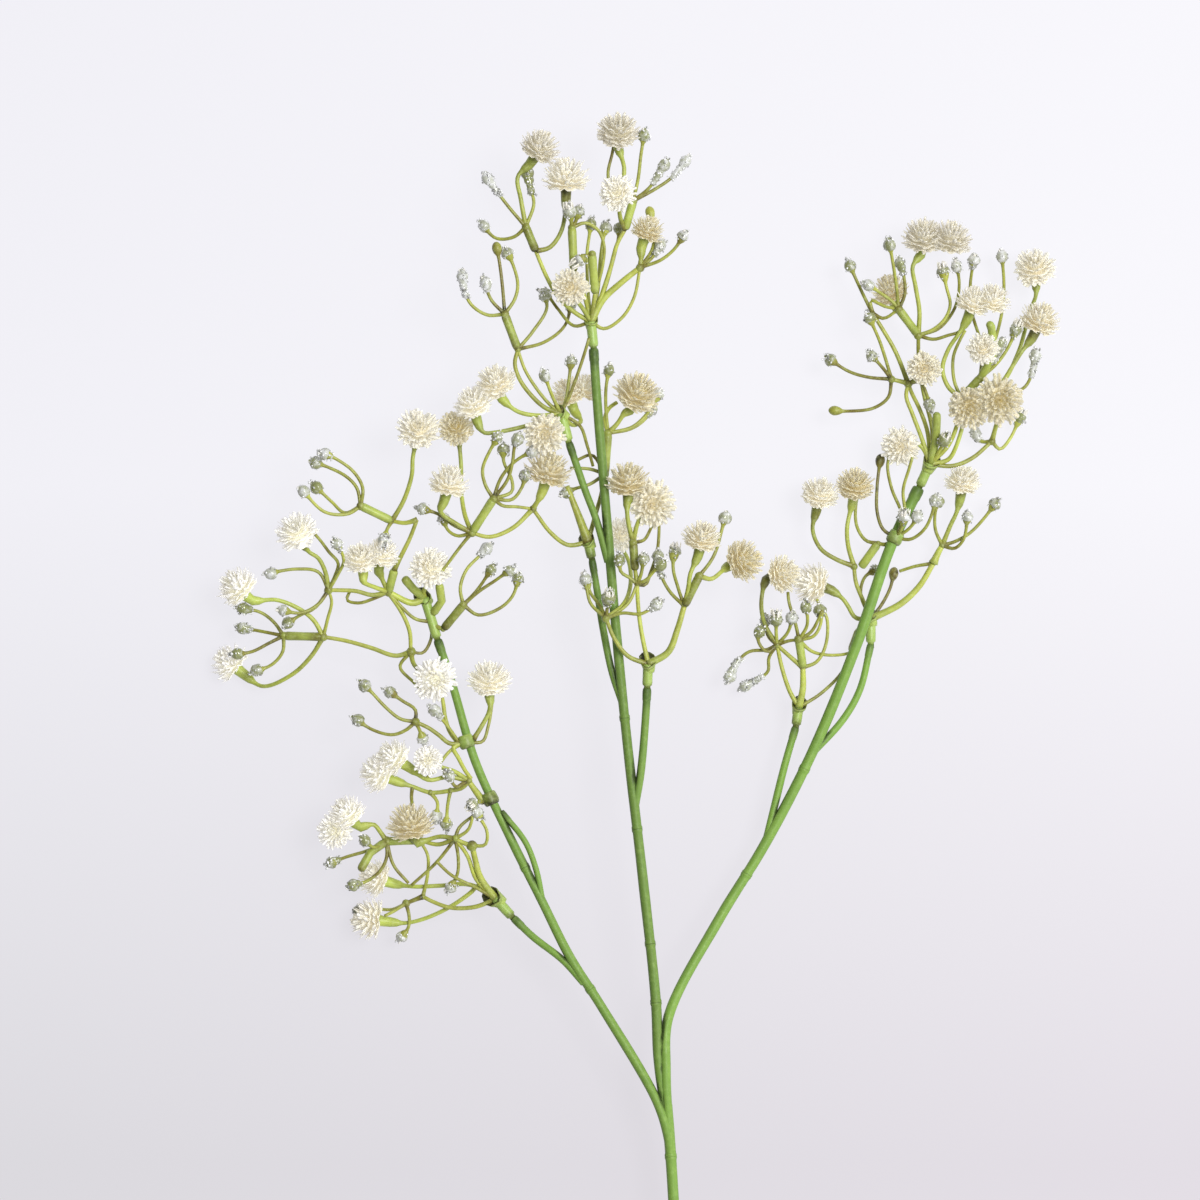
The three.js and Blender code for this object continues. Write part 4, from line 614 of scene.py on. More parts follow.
def place(point):
    """Where a point of the plan lies."""
    x, y, z = point
    return Vector(((x - PLAN_CENTRE_X) * UNIT, (PLAN_CENTRE_Y - y) * UNIT, z * UNIT))


def direction(facing):
    """The direction that a bloom faces in on the plan."""
    x, y, z = facing
    return Vector((x, -y, z)).normalized()


def with_heights(points):
    """Gives each point without a height one from its neighbours, by their distance on the plan."""
    run = [0.0]
    for last, here in zip(points, points[1:]):
        run.append(run[-1] + math.hypot(here[0] - last[0], here[1] - last[1]))
    known = [i for i, point in enumerate(points) if len(point) > 2]
    full = []
    for i, point in enumerate(points):
        before = max(k for k in known if k <= i)
        after = min(k for k in known if k >= i)
        share = (run[i] - run[before]) / (run[after] - run[before]) if after > before else 0.0
        low, high = points[before][2], points[after][2]
        full.append((point[0], point[1], low + share * (high - low)))
    return full


def between(p0, p1, p2, p3, share):
    """A point between p1 and p2 on a centripetal Catmull-Rom line."""
    d0, d1, d2 = [math.sqrt(max((b - a).length, TINY)) for a, b in ((p0, p1), (p1, p2), (p2, p3))]
    t1 = ((p1 - p0) / d0 - (p2 - p0) / (d0 + d1) + (p2 - p1) / d1) * d1
    t2 = ((p2 - p1) / d1 - (p3 - p1) / (d1 + d2) + (p3 - p2) / d2) * d1
    c2 = 3 * (p2 - p1) - 2 * t1 - t2
    c3 = 2 * (p1 - p2) + t1 + t2
    return p1 + t1 * share + c2 * share ** 2 + c3 * share ** 3


class Line:
    """A smooth line through points, read by the distance from its root."""

    def __init__(self, points):
        ends = [points[0] * 2 - points[1], *points, points[-1] * 2 - points[-2]]
        self.points = [points[0]]
        for k in range(len(points) - 1):
            for step in range(1, STEPS + 1):
                self.points.append(between(*ends[k:k + 4], step / STEPS))
        self.run = [0.0]
        for last, here in zip(self.points, self.points[1:]):
            self.run.append(self.run[-1] + (here - last).length)
        self.length = self.run[-1]

    def at(self, distance):
        """The point at a distance. Past an end it goes straight on."""
        k = 1
        while k < len(self.run) - 1 and self.run[k] < distance:
            k += 1
        span = max(self.run[k] - self.run[k - 1], TINY)
        return self.points[k - 1].lerp(self.points[k], (distance - self.run[k - 1]) / span)

    def along(self, distance):
        """The line's direction at a distance."""
        ahead = self.at(min(distance + GLANCE, self.length))
        return (ahead - self.at(max(distance - GLANCE, 0.0))).normalized()


# --- Meshes ---------------------------------------------------------------------------------------


class Shell:
    """Points and faces of a piece, with a tone for each point and a material for each face.

    A tone is two to four numbers from 0 to 1, and those left out are 1. The materials read them. Stem:
    age, with painted shade added in sockets and creases. Spray: age, with painted shade added at the roots
    of shoots and inside the hubs, and how much of the stem's green it has. Frost: brightness of a grain,
    the whitest being painted glints, or milkiness of the gel, and last 1 for a grain and 0 for gel. Film:
    way from the heart to the rim, warmth, chance, depth."""

    def __init__(self):
        self.points, self.tones, self.faces, self.finishes = [], [], [], []

    def ring(self, points, tone):
        """Adds a ring of points, and gives their numbers."""
        start = len(self.points)
        self.points.extend(points)
        self.tones.extend([tone] * len(points))
        return list(range(start, start + len(points)))

    def band(self, low, high, finish):
        """Joins two rings with faces."""
        count = len(low)
        for i in range(count):
            j = (i + 1) % count
            self.faces.append((low[i], low[j], high[j], high[i]))
            self.finishes.append(finish)

    def cap(self, ring, finish, turned=False):
        self.faces.append(tuple(reversed(ring)) if turned else tuple(ring))
        self.finishes.append(finish)

    def loft(self, rings, tones, finish):
        """A closed body through rings of as many points each."""
        rows = [self.ring(points, tone) for points, tone in zip(rings, tones)]
        for low, high in zip(rows, rows[1:]):
            self.band(low, high, finish)
        self.cap(rows[0], finish, turned=True)
        self.cap(rows[-1], finish)

    def piece(self, name, materials):
        """Makes the object, smooth all over, with every point on or above the surface."""
        mesh = bpy.data.meshes.new(name)
        lifted = [(p.x, p.y, max(p.z, FLOOR_GAP)) for p in self.points]
        mesh.from_pydata(lifted, [], self.faces)
        for material in materials:
            mesh.materials.append(material)
        mesh.polygons.foreach_set("material_index", self.finishes)
        mesh.polygons.foreach_set("use_smooth", [True] * len(self.faces))
        tone = mesh.attributes.new("tone", "FLOAT_COLOR", "POINT")
        whole = [(*entry, 1.0, 1.0)[:4] for entry in self.tones]
        tone.data.foreach_set("color", [value for entry in whole for value in entry])
        mesh.validate()
        piece = bpy.data.objects.new(name, mesh)
        bpy.context.scene.collection.objects.link(piece)
        return piece


def side_of(along):
    """A direction square to a line, level where the line is."""
    up = Vector((1, 0, 0)) if abs(along.z) > STEEP else Vector((0, 0, 1))
    return along.cross(up).normalized()


def circle(centre, across, up, radius, sides, bulge=None):
    """Points of a ring. bulge gives each point's share of the radius."""
    points = []
    for i in range(sides):
        angle = TURN * i / sides
        out = radius * (bulge(i) if bulge else 1.0)
        points.append(centre + across * (math.cos(angle) * out) + up * (math.sin(angle) * out))
    return points


def tube(shell, line, rows, sides, finish, bulge=None):
    """A closed tube along a line. rows are (distance, radius, tone), root first. Gives the direction
    across its tip."""
    across = side_of(line.along(rows[0][0]))
    rings, tones = [], []
    for distance, radius, tone in rows:
        along = line.along(distance)
        across = (across - along * across.dot(along)).normalized()
        up = along.cross(across)
        rings.append(circle(line.at(distance), across, up, radius, sides, bulge))
        tones.append(tone)
    shell.loft(rings, tones, finish)
    return across


def spread(start, end, spacing=SPACING):
    """Distances from start to end, evenly about a spacing apart."""
    count = max(1, round((end - start) / spacing))
    return [start + (end - start) * i / count for i in range(count + 1)]


# --- Stem -----------------------------------------------------------------------------------------

STEM_SIDES = 16
STEM_SPACING = 2.2 * MM
SEAM = 0.035  # how far the mould's parting line stands out, of the radius
STEM_AGE = {"base": 0.55, "centre": 0.78, "left": 0.62, "right": 0.52}  # 0 bright green, 1 dark
TWIG_AGE = 0.9  # of its parent's
FORK_BLEND = 28 * MM  # the length over which a branch takes on its own green
SWELL = 0.018  # how much a limb's radius waves, of itself
SWELL_LENGTH = 7 * MM
SWELL_UNEVEN = (-0.006, 0.006)  # how much each of its rings differs
PLAN_TOLERANCE = 0.02 * MM  # how near a ring joint comes to its place on the plan

# A ring joint: millimetres along the stem, share of the joint's height and the dark in its groove
JOINT_ROWS = [
    (-1.5, 0.0, 0.0), (-1.0, 0.4, 0.0), (-0.6, 0.9, 0.0), (-0.1, 1.0, 0.0), (0.1, 0.55, 0.35),
    (0.3, 1.0, 0.0), (0.8, 0.8, 0.0), (1.3, 0.0, 0.0),
]
JOINT_CLEAR = 2.6 * MM  # no plain ring of points lies this near to a joint

# The thickened end that a spray is plugged into: share of its length back from the tip, and width
SOCKET_ROWS = [(1.0, 1.0), (0.86, 1.1), (0.3, 1.12), (0.1, 1.06), (0.0, 0.92)]
SOCKET = 5 * MM  # its length
SOCKET_CLEAR = 0.5 * MM
# Painted shade in a socket's end: how much it adds to the tone
SOCKET_PAINTED_SHADE = 0.45
SOCKET_SHADE = 9 * MM  # the length over which painted shade darkens the green towards its end
PLUG = 2.4 * MM  # how deep a spray is plugged in

CREASE = 2.2 * MM  # the gap between two limbs at which painted shade starts to darken the green in it
CREASE_REACH = 3.6 * MM  # how far round a point other limbs are looked for
CREASE_SAMPLES = 1 * MM
# How strongly painted shade darkens the green in a crease
CREASE_PAINTED_SHADE = 1.8


def stem_age(name):
    parent = name.split("_")[0]
    return STEM_AGE.get(name, STEM_AGE[parent] * TWIG_AGE)


def height_on(line, y):
    """Distance from a line's root to where it passes the plan's y."""
    target = (PLAN_CENTRE_Y - y) * UNIT
    low, high = 0.0, line.length
    while high - low > PLAN_TOLERANCE:
        middle = (low + high) / 2
        if line.at(middle).y < target:
            low = middle
        else:
            high = middle
    return low


def stem_rows(name, line, settings, draw):
    """Rows of a limb of the stem, with its ring joints and, at its tip, its socket, which painted shade
    darkens.
    """
    root, tip = [value * UNIT for value in STEM_PLAN[name]["radius"]]
    joints = [height_on(line, y) for limb, y in STEM_JOINTS if limb == name]

    def radius_at(distance):
        return root + (tip - root) * distance / line.length

    rows = []
    for distance in spread(0.0, line.length, STEM_SPACING):
        if all(abs(distance - joint) > JOINT_CLEAR for joint in joints):
            rows.append([distance, radius_at(distance), 0.0])
    for joint in joints:
        for offset, proud, dark in JOINT_ROWS:
            rows.append([joint + offset * MM, radius_at(joint) + proud * settings.joint_height, dark])
    if name != "base":
        end = line.length
        rows = [row for row in rows if row[0] < end - SOCKET - SOCKET_CLEAR]
        for back, wide in SOCKET_ROWS:
            rows.append([end - back * SOCKET, radius_at(end) * wide, 0.0])
        # Painted shade, deepening towards the socket's end
        for row in rows:
            row[2] += SOCKET_PAINTED_SHADE * max(0.0, 1 - (end - row[0]) / SOCKET_SHADE)
    age = stem_age(name)
    young = age if "twig" in name else STEM_AGE["base"]
    for row in rows:
        row[2] += young + (age - young) * min(1.0, row[0] / FORK_BLEND)
    rows.sort(key=lambda row: row[0])
    start = draw.random() * 9
    full = []
    for distance, radius, dark in rows:
        swell = 1 + SWELL * math.sin(distance / SWELL_LENGTH + start) + draw.uniform(*SWELL_UNEVEN)
        full.append((distance, radius * swell, (min(dark, 1.0), draw.random())))
    return full


def paint_crease_shade(shell, limbs):
    """Paints shade into the green where two limbs run side by side. limbs are (first point, line, radius).
    """
    samples = []
    for number, (_, line, radius) in enumerate(limbs):
        for distance in spread(0.0, line.length, CREASE_SAMPLES):
            samples.append((line.at(distance), number, radius))
    tree = kdtree.KDTree(len(samples))
    for index, (spot, _, _) in enumerate(samples):
        tree.insert(spot, index)
    tree.balance()
    firsts = [first for first, _, _ in limbs] + [len(shell.points)]
    for number in range(len(limbs)):
        for i in range(firsts[number], firsts[number + 1]):
            point = shell.points[i]
            found = tree.find_range(point, CREASE_REACH)
            near = [(*samples[index], distance) for _, index, distance in found]
            own = min((distance, spot) for spot, limb, _, distance in near if limb == number)[1]
            out = (point - own).normalized()
            dark = 0.0
            for spot, limb, radius, distance in near:
                if limb != number:
                    faces = math.sqrt(max(0.0, out.dot(spot - point) / max(distance, TINY)))
                    dark = max(dark, faces * (1 - (distance - radius) / CREASE))
            age, *rest = shell.tones[i]
            shell.tones[i] = (min(1.0, age + CREASE_PAINTED_SHADE * min(dark, 1.0)), *rest)


def build_stem(settings):
    shell = Shell()
    draw = random.Random(settings.seed)

    def seam(i):
        return 1 + SEAM if i % (STEM_SIDES // 2) == 0 else 1.0

    limbs = []
    for name, plan in STEM_PLAN.items():
        line = Line([place(point) for point in plan["path"]])
        limbs.append((len(shell.points), line, sum(plan["radius"]) / 2 * UNIT))
        tube(shell, line, stem_rows(name, line, settings, draw), STEM_SIDES, 0, seam)
    # Painted shade in the creases where limbs run side by side
    paint_crease_shade(shell, limbs)
    return shell


# --- Sprays ---------------------------------------------------------------------------------------

PLASTIC, FROST, PETAL = 0, 1, 2  # the materials of a spray
RAY_SIDES = 10
THIN = {"limb": LIMB, "ray": RAY, "horn": HORN}  # the other thin shoots are threads
AGES = {  # the tone of each kind of shoot, 0 fresh yellow-green, 1 dark olive
    "neck": 0.25, "collar": 0.35, "limb": 0.22, "ray": 0.38, "thread": 0.5, "wisp": 0.5,
    "sleeve": 0.34, "bud": 0.5, "iced": 0.5, "opening": 0.4, "bare": 0.6, "stalk": 0.34, "horn": 0.5,
}
GREENS = {  # how much of the stem's green a shoot has, at its root and at its tip
    "neck": (1.0, 1.0), "collar": (1.0, 1.0), "limb": (0.4, 0.15), "horn": (0.3, 0.1),
    "ray": (0.25, 0.1), "sleeve": (0.5, 0.5), "stalk": (0.2, 0.5),
}
GREEN_ELSEWHERE = (0.2, 0.1)
GREEN_SHARE = (0.75, 1.0)  # how much of that one shoot takes
AGE_DRIFT = (-0.18, 0.2)  # how much younger or older one shoot is than another of its kind
ROOT_SHADE = 0.42  # how much darker a shoot is at its root: painted shade where it joins the part it grows from
ROOT_SHADE_LENGTH = 2.6 * MM
TIP_START = 0.55  # share of a shoot at which it starts to turn to the age of its tip
SLEEVE_TIP_AGE = 0.55
BUD_TIP_AGES = (0.3, 0.7)
CALYX_AGES = (0.3, 0.5, 0.62, 0.75)

ROOT_FLARE = 0.35  # how much wider a thin shoot is at its root, of its radius
FLARE_LENGTH = 1.6 * MM
SHORTEST = 1.5 * MM
RING_UNEVEN = (0.985, 1.015)
BLUNT = 0.55  # the width of a blunt end, of the shoot's
BUD_LIMIT = 0.75  # of its shoot, the most that a bud takes up
CALYX_LIMIT = 0.8
# A collar: share of its length and width
CLASP = [(0.0, 0.9), (0.1, 1.06), (0.3, 1.14), (0.75, 1.1), (0.92, 1.02), (1.0, 0.86)]
# A neck in its socket: share of the plug and width
NECK_ROOT = [(-1.0, 0.65), (-0.1, 0.65), (0.1, 0.95)]

SEPALS = 5
SEPAL_GREEN = 0.5
SEPAL_TURN = 0.15  # how far one may stand out of its place, of the gap between two
SEPAL_FOOT = (1.9 * MM, -0.9 * MM)  # out from the middle of the mouth, and along the calyx
SEPAL_TIP = 2.6 * MM
SEPAL_RISE = (0.3, 0.9)  # millimetres from the mouth to the tip
SEPAL_SIZE = (0.62 * MM, 0.22 * MM)  # half of its width and thickness
SEPAL_ROWS = [  # share of the way to its tip, width, thickness, age
    (0.0, 1.0, 1.0, 0.2), (0.6, 0.7, 0.8, 0.35), (1.0, 0.12, 0.3, 0.6),
]

GEL = 1.28  # how wide the gel round a bud is, of the bud
GEL_START = (0.3 * MM, 0.7)  # how far ahead of its first ring it closes, and how wide it is there
GEL_END = (0.5 * MM, 0.8)  # the same past its last ring
GEL_UNEVEN = (0.92, 1.06)
GEL_FEET = (0.15, 0.15, 0.4)  # where on a bud its gel may start, as a share of it
GEL_LUMPS = (0.84, 1.12)
ICED = 7 * MM  # how far down its ray the gel runs from an iced bud
DRIP = 3.5 * MM  # how far it may run from any other
DRIP_LIMIT = 0.6  # of the ray
DRIP_LEAST = 1.5 * MM
DRIP_SPACING = 0.9 * MM
DRIP_GAP = 0.4 * MM  # between its last ring and the first one of the bud's gel
DRIP_RADIUS = (0.75, 0.95)  # millimetres at its end, and how much more there is at the bud
DRIP_TAPER = 0.6
DRIP_UNEVEN = (0.82, 1.18)
GRAINS = (0.75, 1.25)  # how many grains a bud has, of the usual number
OPENING_GRAINS = 1.15  # how many more there are on one that opens
GRAIN_SIZE = (0.4, 0.85)  # millimetres, at the tip
GRAIN_SINK = (0.85, 0.98)  # how deep it sits in the gel
GRAIN_SHARES = (0.1, 0.95, 0.75)  # where it sits along the bud: least, span and power of the draw
GRAIN_ROOT_SIZE = (0.55, 0.45)  # its size at the bud's root, and how much more there is at the tip
GRAIN_OUT = 0.2  # how far further out its middle is, of its size
GRAIN_AHEAD = (0.2, 1.1)  # millimetres that the grains at the tip stand out ahead of it
DRIP_GRAINS = 4  # for each ring of points of the drip
DRIP_GRAIN_SIZE = (0.35, 0.8)
DRIP_GRAIN_OUT = 1.35 * MM
GRAIN_UNEVEN = (0.6, 1.3)
GRAIN_DEPTH, GRAIN_HEIGHT = 0.6, 0.8  # of its size

BUD_FILM = (0.15, 0.25)  # warmth and depth of the film in a bud
BUD_STRIPS = (3, 1.3, 3.0)  # strips of film: number, and millimetres out and up
OPENING_STRIPS = (9, 2.3, 4.6)
STRIP_FOOT = 1.2 * MM
STRIP_BELLY = (1.1, 0.45)  # out and up, of the strip's
STRIP_TIP_OUT = (0.45, 1.0)
STRIP_TIP_UP = (0.85, 1.15)
STRIP_TURN = 0.3  # how far one may stand out of its place, of the gap between two
STRIP_WIDTH = 1.15 * MM

KNOT_SIDES = 12
KNOT = [  # the lump where shoots part: share of its radius along it, width, age
    (-1.0, 0.3, 0.5), (-0.75, 0.7, 0.55), (-0.35, 0.95, 0.6), (0.0, 1.0, 0.65), (0.35, 0.93, 0.7),
    (0.7, 0.7, 0.8), (0.95, 0.3, 0.9),
]
HUB = [  # a cup, whose mouth on the side of its shoots is painted dark inside as shade
    (-1.1, 0.62, 0.2), (-0.8, 0.72, 0.2), (-0.3, 0.84, 0.25), (0.15, 0.97, 0.3), (0.45, 1.08, 0.5),
    (0.6, 1.07, 0.85), (0.5, 0.92, 1.0), (0.1, 0.7, 1.0), (-0.1, 0.2, 1.0),
]
KNOT_GREEN, HUB_GREEN = 0.35, 0.7
KNOT_LUMPS = (0.9, 1.08)
MOUTH_LEAN = 0.8  # how far a hub's mouth leans up from the surface
MOUTH_START = -0.1  # share of a hub's radius along it, past which its rings lean
AHEAD = 8 * MM  # how far along its shoots a knot looks for the way it points
LEAST_AHEAD = 0.5 * MM  # where they lead nowhere, it points up the stem


def behind(head, distance):
    """The point that lies a distance behind a head's foot."""
    centre, facing, radius = head
    return place(centre) - direction(facing) * (BLOOM_SEAT * radius * UNIT + distance)


def shoot_line(plan, points):
    """The line of a shoot, which ends square under its bloom if it has one."""
    flat = []
    heads = []
    for point in points:
        if not isinstance(point, str):
            flat.append(point)
        elif point in plan["knots"]:
            flat.append(plan["knots"][point][:3])
        else:
            heads.append(point)
    for bloom in heads:
        name, _, number = bloom.partition("/")
        centre, facing, radius = plan["blooms"][name][int(number or 1) - 1]
        aim = direction(facing)
        for distance in (CALYX_LENGTH / 2, CALYX_GAP):
            back = BLOOM_SEAT * radius + distance / UNIT
            flat.append((centre[0] - aim.x * back, centre[1] + aim.y * back, centre[2] - aim.z * back))
    return Line([place(point) for point in with_heights(flat)])


def profile(shape, end, length):
    """Rows of a swelling that ends a shoot: distance and radius."""
    return [(end - length + share * length, radius * MM) for share, radius in shape]


def thin_rows(line, end, sizes):
    """Rows of the thin part of a shoot, up to a distance, with a flare at its root."""
    root, tip = sizes
    rows = []
    for distance in spread(0.0, max(end, SHORTEST)):
        share = distance / line.length
        flare = ROOT_FLARE * math.exp(-distance / FLARE_LENGTH)
        rows.append((distance, (root + (tip - root) * share) * (1 + flare)))
    return rows


def toned(rows, kind, draw, tip_age=None):
    """Adds a tone to rows, which drifts along the shoot, is darkened at its root by painted shade and may
    end in another.
    """
    age = AGES[kind]
    root, tip = [green * draw.uniform(*GREEN_SHARE) for green in GREENS.get(kind, GREEN_ELSEWHERE)]
    total = rows[-1][0]
    drift = draw.uniform(*AGE_DRIFT)
    full = []
    for distance, radius in rows:
        share = distance / total
        # Painted shade at the root, where the shoot joins the part it grows from
        here = age + drift + ROOT_SHADE * math.exp(-distance / ROOT_SHADE_LENGTH)
        if tip_age is not None:
            here += (tip_age - age) * max(0.0, (share - TIP_START) / (1 - TIP_START))
        tone = (min(max(here, 0.0), 1.0), root + (tip - root) * share)
        full.append((distance, radius * draw.uniform(*RING_UNEVEN), tone))
    return full


def grow(shell, plan, row, settings, draw):
    """Grows a shoot with what it carries. row is its kind and the points that it runs through."""
    kind, *points = row
    line = shoot_line(plan, points)
    if kind == "sleeve":
        rows = [(share * line.length, radius * MM) for share, radius in SLEEVE]
        tube(shell, line, toned(rows, kind, draw, SLEEVE_TIP_AGE), RAY_SIDES, PLASTIC)
    elif kind in ("bud", "bare", "iced", "opening"):
        length, shape = (OPENING_LENGTH, OPENING) if kind == "opening" else (BUD_LENGTH, BUD)
        length = min(length, BUD_LIMIT * line.length)
        rows = thin_rows(line, line.length - length, THREAD)[:-1] + profile(shape, line.length, length)
        tube(shell, line, toned(rows, kind, draw, draw.uniform(*BUD_TIP_AGES)), RAY_SIDES, PLASTIC)
        if kind != "bare":
            dress_bud(shell, line, length, shape, kind, settings, draw)
    elif kind == "stalk":
        length = min(CALYX_LENGTH, CALYX_LIMIT * line.length)
        rows = thin_rows(line, line.length - length, RAY)[:-1] + profile(CALYX, line.length, length)
        rows = toned(rows, kind, draw, draw.choice(CALYX_AGES))
        sepals(shell, line, tube(shell, line, rows, RAY_SIDES, PLASTIC), draw)
    elif kind == "collar":
        rows = [(share * line.length, wide * COLLAR) for share, wide in CLASP]
        tube(shell, line, toned(rows, kind, draw), RAY_SIDES, PLASTIC)
    elif kind == "neck":
        plain = [distance for distance, _ in thin_rows(line, line.length, (NECK, NECK))[1:]]
        rows = [(share * PLUG, wide * NECK) for share, wide in NECK_ROOT]
        rows += [(distance, NECK) for distance in (*plain, line.length)]
        tube(shell, line, toned(rows, kind, draw), RAY_SIDES, PLASTIC)
    else:
        rows = thin_rows(line, line.length, THIN.get(kind, THREAD))
        rows.append((line.length, rows[-1][1] * BLUNT))
        tube(shell, line, toned(rows, kind, draw), RAY_SIDES, PLASTIC)


def sepals(shell, line, across, draw):
    """Short teeth round a calyx's mouth."""
    mouth = line.at(line.length)
    along = line.along(line.length)
    up = along.cross(across)
    for i in range(SEPALS):
        angle = TURN * (i + draw.uniform(-SEPAL_TURN, SEPAL_TURN)) / SEPALS
        out = across * math.cos(angle) + up * math.sin(angle)
        foot = mouth + out * SEPAL_FOOT[0] + along * SEPAL_FOOT[1]
        tip = mouth + out * SEPAL_TIP + along * (draw.uniform(*SEPAL_RISE) * MM)
        wide = along.cross(out) * SEPAL_SIZE[0]
        thick = out * SEPAL_SIZE[1]
        rings, tones = [], []
        for share, width, depth, age in SEPAL_ROWS:
            spot = foot.lerp(tip, share)
            rings.append([
                spot - wide * width, spot + thick * depth, spot + wide * width, spot - thick * depth])
            tones.append((age, SEPAL_GREEN))
        shell.loft(rings, tones, PLASTIC)


def around(line, distance, across, draw):
    """The direction of a line at a distance, and one out of it, drawn at random."""
    along = line.along(distance)
    angle = draw.uniform(0, TURN)
    return along, (across * math.cos(angle) + along.cross(across) * math.sin(angle)).normalized()


def dress_bud(shell, line, length, shape, kind, settings, draw):
    """Gel with grains in it round a bud and, out of its tip, the first strips of film."""
    opening = kind == "opening"
    across = side_of(line.along(line.length))
    start = line.length - length
    gel_foot = draw.choice(GEL_FEET)
    milk = draw.random()
    coat = [
        (start + share * length, radius * MM * GEL * draw.uniform(*GEL_UNEVEN), (milk, 0.0, 0.0, 0.0))
        for share, radius in shape if share > gel_foot
    ]
    first, last = coat[0], coat[-1]
    run = ICED if kind == "iced" else DRIP * draw.random() ** 3
    run = min(run, DRIP_LIMIT * start)
    drip = []
    if run > DRIP_LEAST:
        for distance in spread(first[0] - run, first[0] - DRIP_GAP, DRIP_SPACING):
            near = max(0.0, 1 - (first[0] - distance) / run)
            thick = DRIP_RADIUS[0] + DRIP_RADIUS[1] * near ** DRIP_TAPER
            drip.append((distance, thick * draw.uniform(*DRIP_UNEVEN) * MM, first[2]))
    coat = (drip or [(first[0] - GEL_START[0], first[1] * GEL_START[1], first[2])]) + coat
    coat.append((last[0] + GEL_END[0], last[1] * GEL_END[1], last[2]))
    lumps = [draw.uniform(*GEL_LUMPS) for _ in range(RAY_SIDES)]
    tube(shell, line, coat, RAY_SIDES, FROST, lambda i: lumps[i])
    least, span, power = GRAIN_SHARES
    for _ in range(round(settings.frost * draw.uniform(*GRAINS) * (OPENING_GRAINS if opening else 1.0))):
        share = min(1.0, least + span * draw.random() ** power)
        radius = next(r for s, r in shape if s >= share) * MM
        along, out = around(line, start + share * length, across, draw)
        size = draw.uniform(*GRAIN_SIZE) * MM * (GRAIN_ROOT_SIZE[0] + GRAIN_ROOT_SIZE[1] * share)
        centre = line.at(start + share * length)
        centre = centre + out * (GEL * radius * draw.uniform(*GRAIN_SINK) + GRAIN_OUT * size)
        centre += along * (draw.uniform(*GRAIN_AHEAD) * MM * max(0.0, share - 0.7) / 0.3)
        grain(shell, centre, out, along, size, draw)
    for _ in range(DRIP_GRAINS * len(drip)):
        distance = first[0] - run * draw.random()
        along, out = around(line, distance, across, draw)
        centre = line.at(distance) + out * DRIP_GRAIN_OUT
        grain(shell, centre, out, along, draw.uniform(*DRIP_GRAIN_SIZE) * MM, draw)
    along = line.along(line.length)
    seat = (line.at(line.length - 0.5 * length), along, across, along.cross(across))
    count, wide, high = OPENING_STRIPS if opening else BUD_STRIPS
    for i in range(count):
        angle = TURN * (i + draw.uniform(-STRIP_TURN, STRIP_TURN)) / count
        spine = [
            (STRIP_FOOT, 0.0), (wide * STRIP_BELLY[0] * MM, STRIP_BELLY[1] * high * MM),
            (wide * draw.uniform(*STRIP_TIP_OUT) * MM, high * draw.uniform(*STRIP_TIP_UP) * MM)]
        blade(shell, seat, angle, spine, STRIP_WIDTH, FULL_BLADE_ROWS, PETAL, BUD_FILM, wide * MM, draw)


def grain(shell, centre, out, along, size, draw):
    """A small clear grain of frost: an uneven octahedron."""
    side = out.cross(along).normalized()
    ways = (along, side, -along, -side)
    girth = [centre + way * (size * draw.uniform(*GRAIN_UNEVEN)) for way in ways]
    ends = [centre - out * size * GRAIN_DEPTH, centre + out * size * GRAIN_HEIGHT]
    *girth, low, high = shell.ring(girth + ends, (draw.random(), draw.random()))
    for here, after in zip(girth, girth[1:] + girth[:1]):
        shell.faces += [(here, after, high), (after, here, low)]
        shell.finishes += [FROST, FROST]


def knot(shell, centre, radius, towards, hub, draw):
    """The lump where shoots part, or a hub: a cup whose mouth on their side leans upwards, painted dark
    inside as shade.
    """
    along = towards.normalized()
    across = side_of(along)
    up = along.cross(across)
    lumps = [draw.uniform(*KNOT_LUMPS) for _ in range(KNOT_SIDES)]
    rings, tones = [], []
    for out, wide, age in HUB if hub else KNOT:
        lean = MOUTH_LEAN if hub and out > MOUTH_START else 0.0
        rings.append(circle(
            centre + along * (out * radius), across, up + along * lean, wide * radius, KNOT_SIDES,
            lambda i: lumps[i]))
        tones.append((age, HUB_GREEN if hub else KNOT_GREEN))
    shell.loft(rings, tones, PLASTIC)


def build_spray(plan, settings, draw):
    shell = Shell()
    for row in plan["shoots"]:
        grow(shell, plan, row, settings, draw)
    knobs = [(name, point) for name, point in plan["knots"].items() if len(point) == 4]
    for name, (*point, radius) in knobs:
        towards = Vector((0, 1, 0))
        leaving = [row[1:] for row in plan["shoots"] if name in row[1:-1]]
        if leaving:
            lines = [shoot_line(plan, points) for points in leaving]
            ahead = [line.at(min(AHEAD, line.length)) for line in lines]
            mean = sum(ahead, Vector()) / len(ahead) - place(point)
            towards = mean if mean.length > LEAST_AHEAD else towards
        knot(shell, place(point), radius * UNIT, towards, name == "hub", draw)
    return shell


# --- Blooms ---------------------------------------------------------------------------------------

